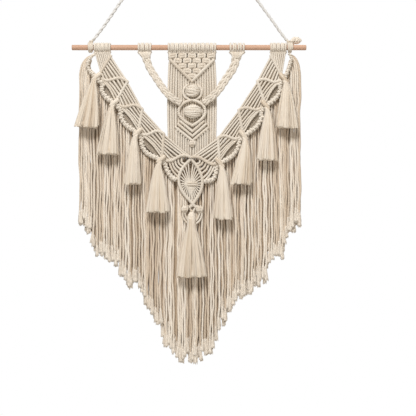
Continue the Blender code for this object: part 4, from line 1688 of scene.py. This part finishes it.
@dataclass
class FringeCord:
    """One fringe cord, from its root to its combed tip."""

    root: Vector
    foot_down: float
    out: float
    bends: Sequence[Vector] = ()
    radius: float = 2.25
    drift: float = 1.9
    wobble: float = 0.75
    segment: float = 10.0
    held: float = 45.0
    tip: float = 26.0
    tip_yarns: int = 16
    tip_spread: float = 5.0
    lightest: float = 0.0
    darkest: float = 1.15
    # painted shade on the cord's front, for cords that hang behind others
    painted_shade: float = 0.0
    sides: int = 7
    step: float = 4.8

    def hang(self, work: Yarnwork) -> None:
        """Add the cord and its tip to a piece.

        Args:
            work: The piece that it belongs to.
        """
        chance = work.chance
        top = self.bends[-1] if self.bends else self.root
        across, top_down = top.x + HOOK_ACROSS, -top.z - HOOK_ABOVE_ROD
        end_down = self.foot_down - self.tip * chance.uniform(0.7, 1.15)
        radius = self.radius * chance.uniform(0.82, 1.14)
        drift = self.drift * (0.6 * math.sin(across / 9 + 0.8) + chance.uniform(-0.7, 0.7))
        short = Wave(chance.uniform(34, 54), chance.uniform(0, math.tau), 0.4)
        long = Wave(chance.uniform(60, 110), chance.uniform(0, math.tau), 1.0)
        path = [self.root, *self.bends]
        steps = max(3, round((end_down - top_down) / self.segment))
        for step in range(1, steps + 1):
            down = top_down + (end_down - top_down) * step / steps
            hold = min(1.0, (down - top_down) / self.held)
            own = short.at(down) + long.at(down)
            shared = 0.9 * math.sin(down / 38 + across / 34)
            sway = drift * step / steps + hold * (self.wobble * own + shared)
            lean = hold * (0.8 * math.sin(down / 64 + across / 40) + 0.5 * own)
            path.append(at(across + sway, down, self.out + lean))
        tone = chance.uniform(self.lightest, self.darkest)
        radii = [radius * 0.9, *[radius] * 8, radius * 0.8]
        work.strand(smooth(path, 2), radii, sides=self.sides, step=self.step, tone=tone, painted_shade=self.painted_shade)
        self._comb(work, path[-1], radius, tone)

    def _comb(self, work: Yarnwork, end: Vector, radius: float, tone: float) -> None:
        """The combed yarns at the cord's end, round a soft body.

        Args:
            work: The piece that they belong to.
            end: Where the cord ends.
            radius: The cord's radius.
            tone: The cord's tone.
        """
        chance = work.chance
        length = self.foot_down + HOOK_ABOVE_ROD + end.z
        lean = chance.uniform(-2.2, 2.2)
        inside = length * 0.86 + 3.5
        body = [end + Vector((lean * part, 0, 3.5 - inside * part)) for part in (0.0, 0.5, 1.0)]
        radii = (radius * 0.9, radius * 1.3, self.tip_spread * 0.84)
        work.strand(body, radii, sides=8, step=4.5, flat=0.66, tone=0.15 * tone)
        for yarn in range(self.tip_yarns):
            turn = math.tau * yarn * 0.618
            spread = math.sqrt((yarn + 0.5) / self.tip_yarns)
            reach = length * (1.0 - 0.35 * chance.random() ** 1.5)
            wide = self.tip_spread * chance.uniform(0.7, 1.1)
            x, y = math.cos(turn) * spread, math.sin(turn) * spread
            aside = x * wide * 0.9 + lean + chance.uniform(-0.9, 0.9)
            path = [
                end + Vector((x * radius * 0.7, y * radius * 0.7, 6.0)),
                end + Vector((x * (radius * 0.7 + wide * 0.25), y * radius, -reach * 0.3)),
                end + Vector((x * wide * 0.85 + lean * 0.6, y * radius * 1.1, -reach * 0.75)),
                end + Vector((aside, y * radius, -reach)),
            ]
            shade = max(0.0, 0.4 * tone + chance.uniform(-0.35, 0.15))
            work.strand(smooth(path, 2), (0.75, 1.0, 1.0, 0.6), sides=4, step=self.step + 1.0, tone=shade)


class OuterCord(NamedTuple):
    """A cord that swings out from an edge: its root, and how far across it falls."""

    root: Place
    fall: float


SCALLOPS = {
    Side.LEFT: (
        (Place(-197, 12.6), Place(-207, 21), Place(-212, 32), Place(-211, 44), Place(-194, 64)),
        (Place(-194, 64), Place(-183, 75), Place(-184, 88), Place(-175, 102), Place(-155, 116)),
        (Place(-155, 116), Place(-146, 128), Place(-145, 140), Place(-136, 157), Place(-110, 175)),
        (Place(-110, 175), Place(-104, 186), Place(-102, 201), Place(-91, 216), Place(-62, 230)),
        (Place(-62, 230), Place(-55, 239), Place(-51, 251), Place(-42, 264), Place(-32, 270)),
    ),
    Side.RIGHT: (
        (Place(198, 12.6), Place(202.5, 22), Place(199.5, 35), Place(194.5, 49), Place(188, 64)),
        (Place(188, 64), Place(179, 75), Place(180, 87), Place(172, 102), Place(150, 120)),
        (Place(150, 120), Place(141, 131), Place(142, 143), Place(132, 161), Place(106, 181)),
        (Place(106, 181), Place(97, 191), Place(95, 203), Place(84, 220), Place(60, 235)),
        (Place(60, 235), Place(52, 243), Place(49, 256), Place(43, 269), Place(26, 273)),
    ),
}
FRONT_OUTER_CORDS = {
    Side.LEFT: (
        OuterCord(Place(-200.5, 15.8), -229.0), OuterCord(Place(-206.5, 21.2), -220.6),
        OuterCord(Place(-211.3, 32.5), -212.4),
    ),
    Side.RIGHT: (
        OuterCord(Place(199.5, 15.0), 220.0), OuterCord(Place(202, 22), 211.4),
        OuterCord(Place(199, 34), 202.8),
    ),
}
BACK_STRIP = (
    Place(-207, 24), Place(-210, 42), Place(-193, 61), Place(-156, 112), Place(-109, 172), Place(-60, 226),
    Place(56, 231), Place(104, 178), Place(149, 117), Place(187, 62), Place(195, 46), Place(200.5, 26),
)
BACK_OUTER_CORDS = {
    Side.LEFT: (
        OuterCord(Place(-206, 23), -227.0), OuterCord(Place(-209.5, 32), -217.0),
        OuterCord(Place(-208, 47), -206.0),
    ),
    Side.RIGHT: (
        OuterCord(Place(200.5, 22), 218.5), OuterCord(Place(199, 34), 209.0),
        OuterCord(Place(194.5, 47), 199.0),
    ),
}


class BackLayer(NamedTuple):
    """A layer of the back fringe: where it hangs, its pitch, and the measures of its cords, among them the
    painted shade on their fronts.
    """

    out: float
    pitch: float
    start: float
    shorter: float
    radius: float
    drift: float
    wobble: float
    tip_yarns: int
    # painted shade on the fronts of its cords
    painted_shade: float
    sides: int
    step: float


@dataclass
class Fringe:
    """The knotted edges with the front fringe, the centre fringe and the back fringe."""

    scallop_out: float = -2.6
    edge_reach: float = 5.9
    edge_behind_leaf: float = 4.0
    edge_lift: float = 5.6
    edge_radii: tuple[float, ...] = (3.0, 3.4, 4.6, 5.0, 5.0, 5.0, 5.0, 5.0, 5.0, 5.0, 5.0)
    edge_loops: int = 88
    edge_loop_radius: float = 2.35
    front_out: float = -1.7
    front_pitch: float = 5.2
    front_outer_cords: int = 5
    outer_drop: float = 40.0
    ragged: float = 23.0
    hem_allowance: float = 4.0
    centre_strip: tuple[float, float] = (-30.0, 23.5)
    centre_strip_down: float = 276.0
    back_out: float = -8.4
    back_strip_radius: float = 3.2
    back_ragged: float = 1.5
    back_layers: tuple[BackLayer, ...] = (
        BackLayer(
            out=-6.8, pitch=5.0, start=1.5, shorter=0.0, radius=2.65, drift=1.6, wobble=0.9, tip_yarns=9,
            painted_shade=0.95, sides=6, step=7.0,
        ),
        BackLayer(
            out=-10.2, pitch=5.3, start=3.5, shorter=9.0, radius=2.9, drift=0.3, wobble=0.4, tip_yarns=7,
            painted_shade=1.3, sides=5, step=10.0,
        ),
    )
    back_outer_cords: int = 8

    def build(self) -> None:
        """Make both edges with the front fringe, then the centre and the back."""
        for side in Side:
            edge = self._edge_path(side)
            self._knots(side, edge)
            self._front(side, edge)
        self._centre()
        self._back()

    def _edge_path(self, side: Side) -> list[Vector]:
        """The line of a knotted edge, which comes forward to each zigzag corner that it meets.

        Args:
            side: The wing's side.

        Returns:
            The points of the line.
        """
        outs = [self.scallop_out]
        for scallop, corner in zip(SCALLOPS[side], (1, 3, 5, 7)):
            cusp, bars = scallop[-1], ZIGZAG[side][corner]
            beside = math.hypot(cusp.across - bars.across, cusp.down - bars.down)
            outs.append(wing_out(corner) - math.sqrt(max(self.edge_reach**2 - beside**2, 0.0)))
        outs.append(LEAF_OUT - self.edge_behind_leaf)
        edge: list[Vector] = []
        for scallop, start, end in zip(SCALLOPS[side], outs, outs[1:]):
            depths = [start] + [self.scallop_out] * (len(scallop) - 2) + [end]
            curve = smooth([at(place.across, place.down, out) for place, out in zip(scallop, depths)], 8)
            edge += curve[1:] if edge else curve
        return edge

    def _knots(self, side: Side, edge: Sequence[Vector]) -> None:
        """A wing's knotted edge: a thick cord with loops laid over it to both sides by turns.

        Args:
            side: The wing's side.
            edge: The line of the edge.
        """
        work = Yarnwork(f"edge_{side.value}_knots", 51)
        raised = [place + Vector((0, -self.edge_lift, 0)) for place in edge]
        work.strand(raised, self.edge_radii, KNOBBED, sides=12, step=0.9, tone=0.0)
        spots = np.array(evenly(raised, self.edge_loops))
        across, front = directions(spots)
        for index in range(self.edge_loops):
            way = 1 if index % 2 else -1
            reach = 1.9 + work.chance.uniform(-0.6, 0.6)
            size = min(1.0, 0.62 + 1.6 * index / self.edge_loops)
            loop = [
                Vector(spots[index] + size * (way * share * across[index] + lift * front[index]))
                for share, lift in ((-1.4, 3.0), (reach, 3.7), (reach + 1.6, 1.6), (reach + 0.6, -1.5))
            ]
            radius = self.edge_loop_radius * size * work.chance.uniform(0.88, 1.1)
            work.strand(smooth(loop, 3), radius, sides=8, step=1.2, tone=0.0)
        work.build(IVORY, f"fringe_{side.value}")

    def _front(self, side: Side, edge: Sequence[Vector]) -> None:
        """The fringe that hangs from a wing's knotted edge.

        Args:
            side: The wing's side.
            edge: The line of the edge.
        """
        work = Yarnwork(f"fringe_{side.value}_cords", 61 + side.outward)
        x, end = min(place.x for place in edge) + 2.0, max(place.x for place in edge) - 1.5
        while x < end:
            self._hang(work, down_on(edge, x), x + HOOK_ACROSS)
            x += self.front_pitch * work.chance.uniform(0.7, 1.3)
        for number in range(self.front_outer_cords):
            cord = self._between(FRONT_OUTER_CORDS[side], number / (self.front_outer_cords - 1))
            self._outer(work, cord, self.scallop_out + 0.3 * (number % 3))
        work.build(LOOSE, f"fringe_{side.value}")

    def _hang(self, work: Yarnwork, root: Vector, across: float) -> None:
        """Hang one cord of the front or the centre fringe.

        Args:
            work: The piece that it belongs to.
            root: Its root.
            across: Where it hangs.
        """
        out = self.front_out + work.chance.uniform(-1.5, 1.5)
        FringeCord(root, self._foot(work, across), out).hang(work)

    def _foot(self, work: Yarnwork, across: float, reach: float = 1.0) -> float:
        """How far down a cord ends: on the hem, or raggedly short of it.

        Args:
            work: The piece that the cord belongs to.
            across: Where the cord hangs.
            reach: How ragged it is, as a share of the whole fringe's.

        Returns:
            The place down.
        """
        groups = 0.5 + 0.5 * math.sin(across / 3.7 + 2 * math.sin(across / 11))
        short = 0.65 * groups + 0.55 * work.chance.random() ** 1.4
        return hem_at(across) + self.hem_allowance - self.ragged * reach * short

    @staticmethod
    def _between(outer: Sequence[OuterCord], share: float) -> OuterCord:
        """A cord between those in a table of outer cords.

        Args:
            outer: The table.
            share: How far through the table.

        Returns:
            The cord.
        """
        spot = share * (len(outer) - 1)
        across, down, fall = (
            float(np.interp(spot, range(len(outer)), column))
            for column in zip(*((*cord.root, cord.fall) for cord in outer))
        )
        return OuterCord(Place(across, down), fall)

    def _outer(self, work: Yarnwork, cord: OuterCord, out: float) -> None:
        """A fringe cord that swings out from the edge before it falls.

        Args:
            work: The piece that it belongs to.
            cord: Its root and its fall.
            out: How far out it hangs.
        """
        across, down = cord.root
        bends = []
        for degrees in (20, 38, 60, 90):
            angle = math.radians(degrees)
            swung = across + (cord.fall - across) * math.sin(angle)
            bends.append(at(swung, down + self.outer_drop * (1 - math.cos(angle)), out))
        FringeCord(
            at(across, down, out), self._foot(work, cord.fall), out, bends, radius=2.2, drift=1.2, wobble=0.8
        ).hang(work)

    def _centre(self) -> None:
        """The front fringe below the leaf."""
        work = Yarnwork("fringe_centre_cords", 71)
        across, end = self.centre_strip[0] + 2.0, self.centre_strip[1] - 1.5
        while across < end:
            self._hang(work, at(across, self.centre_strip_down, self.scallop_out), across)
            across += self.front_pitch * work.chance.uniform(0.7, 1.3)
        work.build(LOOSE, "fringe_centre")

    def _back(self) -> None:
        """The back fringe on its strip, in two layers whose cords carry painted shade on their fronts, and
        its outer cords.
        """
        work = Yarnwork("fringe_back_cords", 81)
        line = [at(place.across, place.down, self.back_out) for place in BACK_STRIP]
        work.hitched_bar(line, self.back_strip_radius)
        for layer in self.back_layers:
            x = line[0].x + layer.start
            while x < line[-1].x - 1.0:
                foot = self._foot(work, x + HOOK_ACROSS, self.back_ragged) - layer.shorter
                FringeCord(
                    down_on(line, x), foot, layer.out + work.chance.uniform(-0.8, 0.8), radius=layer.radius,
                    drift=layer.drift, wobble=layer.wobble, tip_yarns=layer.tip_yarns, lightest=0.2,
                    darkest=0.9, painted_shade=layer.painted_shade, sides=layer.sides, step=layer.step,
                ).hang(work)
                x += layer.pitch
        for side in Side:
            for number in range(self.back_outer_cords):
                cord = self._between(BACK_OUTER_CORDS[side], number / (self.back_outer_cords - 1))
                self._outer(work, cord, self.back_layers[number % 2].out)
        work.build(LOOSE, "fringe_back")


# ------------------------------------------------------------------------------------------ tassels


class Lock(NamedTuple):
    """A lock of a tassel's yarns: its angle, its step aside, its share of the length and its tone."""

    angle: float
    aside: float
    length: float
    tone: float


@dataclass
class Tassel:
    """A tassel: a wrapped collar on its corner, and combed yarns in locks that widen down to a cut foot."""

    name: str
    top: tuple[float, float, float]
    foot: tuple[float, float, float]
    half_width: float
    depth: float = 10.0
    collar: Place = Place(0.0, 0.0)
    collar_radius: float = 5.0
    neck_radius: float = 5.0
    neck_length: float = 14.0
    yarns: int = 280
    yarn_radius: float = 0.92
    locks: int = 11
    core: float = 0.86
    head: float = 0.0
    head_radii: tuple[float, ...] = (4.5, 8.0, 8.9, 9.0, 8.8, 8.2)

    def build(self, seed: int) -> None:
        """Make the tassel.

        Args:
            seed: The seed of its yarns' small differences.
        """
        work = Yarnwork(f"{self.name}_yarns", seed)
        self._core(work)
        locks = [self._lock(work.chance, number) for number in range(self.locks)]
        for yarn in range(self.yarns):
            self._yarn(work, locks[yarn % self.locks], inner=yarn // self.locks % 6 == 5)
        if self.collar.across:
            self._bind(work)
        if self.head:
            self._wrap_head(work)
        work.build(COMBED, self.name)

    def _core(self, work: Yarnwork) -> None:
        """The body inside the yarns, darkened as painted shade where it shows between them.

        Args:
            work: The tassel's piece.
        """
        shares = [step / 10 for step in range(1, 11)]
        core = [self._spot(share, 0, 0, 0) for share in shares]
        core[-1] += Vector((0, 0, 3.0))
        wide, deep = self._ring(1.0)
        radii = [self._ring(share)[0] * self.core for share in shares]
        # A dark tone: painted shade for the inside of the tassel
        work.strand(core, radii, sides=16, step=6, flat=deep / wide, tone=0.8)

    def _lock(self, chance: random.Random, number: int) -> Lock:
        """One lock of the yarns.

        Args:
            chance: The tassel's small differences.
            number: The lock's number.

        Returns:
            The lock.
        """
        return Lock(
            math.tau * (number + chance.uniform(-0.25, 0.25)) / self.locks, chance.uniform(-1.5, 1.5),
            1.0 - 0.05 * chance.random(), chance.uniform(0.0, 0.75),
        )

    def _yarn(self, work: Yarnwork, lock: Lock, inner: bool) -> None:
        """Add one yarn to a lock.

        Args:
            work: The tassel's piece.
            lock: The lock that the yarn lies in.
            inner: Whether it fills the foot from the inside, and so starts half way down.
        """
        chance = work.chance
        within = chance.uniform(-1, 1)
        depth = 0.8 * math.sqrt(chance.random()) if inner else 1.0 - 0.07 * chance.random()
        length = lock.length * (1.0 - 0.02 * chance.random())
        path = []
        for step in range(5 if inner else 0, 10):
            share = length * step / 9
            turn = lock.angle + within * math.tau / self.locks * (0.62 - 0.19 * share**2)
            part = depth * (1.0 - 0.16 * share * within**2)
            path.append(self._spot(share, turn, part, lock.aside * share * math.sin(share * 2.6)))
        # Yarns at a lock's edges get a darker tone: painted shade between the locks
        tone = max(0.0, lock.tone + chance.uniform(-0.2, 0.3) + 0.5 * abs(within) ** 3)
        radii = [self.yarn_radius * wide for wide in (0.8, 1.0, 1.0, 0.85)]
        work.strand(smooth(path, 2), radii, sides=4, step=11.0, tone=tone, clean_cut=True)

    def _bind(self, work: Yarnwork) -> None:
        """The wrapped collar that binds the yarns where they leave the bars.

        Args:
            work: The tassel's piece.
        """
        top, way = at(*self.top), Vector((self.collar.across, 0, -self.collar.down))
        back = top - way * 0.42 + Vector((0, 2.5, 0))
        work.hitched_bar([back, top + Vector((0, -0.6, 0)), top + way * 0.5], self.collar_radius)

    def _wrap_head(self, work: Yarnwork) -> None:
        """The cord that is wrapped round a large tassel's head.

        Args:
            work: The tassel's piece.
        """
        across, down, out = self.top
        path = [
            at(across, down - 5, out - 2), at(across, down + 1, out), at(across, down + self.head, out + 1),
        ]
        work.strand(path, self.head_radii, WRAPPED, sides=22, step=1.2, flat=0.9, tone=0.0)

    def _ring(self, share: float) -> tuple[float, float]:
        """The tassel's half width and half depth at a share of its height.

        Args:
            share: The share of its height, from its top.

        Returns:
            The half width and the half depth.
        """
        neck_share = self.neck_length / (self.foot[1] - self.top[1])
        part = max(0.0, (share - neck_share) / (1 - neck_share)) ** 0.7
        radius = self.neck_radius * min(1.0, 0.72 + share * 8)
        return tuple(radius + (half - self.neck_radius) * part for half in (self.half_width, self.depth))

    def _spot(self, share: float, angle: float, part: float, sway: float) -> Vector:
        """A place in the tassel.

        Args:
            share: The share of its height, from its top.
            angle: The angle round its middle line.
            part: How far from the middle line towards its outside.
            sway: A small step aside.

        Returns:
            The place.
        """
        top, foot = at(*self.top), at(*self.foot)
        wide, deep = self._ring(share)
        bend = 0.4 * self.collar.across
        along_collar = bend * min(1.0, share * 8)
        middle = top.x + along_collar + (foot.x - top.x - bend) * share**1.2
        return Vector((
            middle + wide * part * math.cos(angle) + sway,
            top.y + (foot.y - top.y) * share - deep * part * math.sin(angle) + sway * 0.3,
            top.z + (foot.z - top.z) * share,
        ))


class TasselPlan(NamedTuple):
    """A wing tassel's top, the middle of its foot, half its width there, and the corner that carries it."""

    top: Place
    foot: Place
    half_width: float
    corner: int


@dataclass
class Tassels:
    """The eight tassels of the wings and the large one below the leaf."""

    plans: tuple[TasselPlan, ...] = (
        TasselPlan(Place(-193, 60), Place(-214, 165), 26, 1),
        TasselPlan(Place(-157, 113), Place(-172, 221), 23, 3),
        TasselPlan(Place(-110, 173), Place(-121, 282), 18, 5),
        TasselPlan(Place(-62, 228), Place(-70, 339), 24, 7),
        TasselPlan(Place(186, 63), Place(193, 168), 24, 1),
        TasselPlan(Place(149, 118), Place(152, 233), 21, 3),
        TasselPlan(Place(104, 179), Place(100, 281), 22, 5),
        TasselPlan(Place(56, 235), Place(63, 352), 20, 7),
    )
    seat: float = 5.9
    foot_forward: float = 2.5
    left_collar: Place = Place(-17.0, 16.0)
    right_collar: Place = Place(16.0, 20.0)

    def build(self) -> None:
        """Make all nine."""
        for number, plan in enumerate(self.plans, start=1):
            out = wing_out(plan.corner) + self.seat
            Tassel(
                f"tassel_{number}", (*plan.top, out), (*plan.foot, out + self.foot_forward), plan.half_width,
                collar=self.left_collar if plan.top.across < 0 else self.right_collar,
            ).build(100 + number)
        Tassel(
            "tassel_9", (-1, 341.2, 9), (0, 470, 15), 31, neck_radius=8.0, neck_length=26.0,
            yarn_radius=1.15, locks=14, head=27.0,
        ).build(109)


# ------------------------------------------------------------------------------------------ the hanging


def main() -> None:
    """Load the frame and build every sub-assembly in order."""
    logging.basicConfig(level=logging.INFO, format="%(name)s: %(message)s")
    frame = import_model()
    Studio().build()
    HangingCord().build()
    Rod().build(frame)
    Wing(Side.LEFT, Heads(-199.5, -166.0)).build()
    Wing(Side.RIGHT, Heads(159.5, 192.5), bar_bow=-3.0, bar_swing=4.5, first_reach=0.82).build()
    Panel(Heads(-49.0, 49.0)).build()
    Braid(Side.LEFT, Heads(-110.0, -83.0)).build()
    Braid(Side.RIGHT, Heads(77.0, 107.0)).build()
    Leaf().build()
    Fringe().build()
    Tassels().build()


if __name__ == "__main__":
    main()
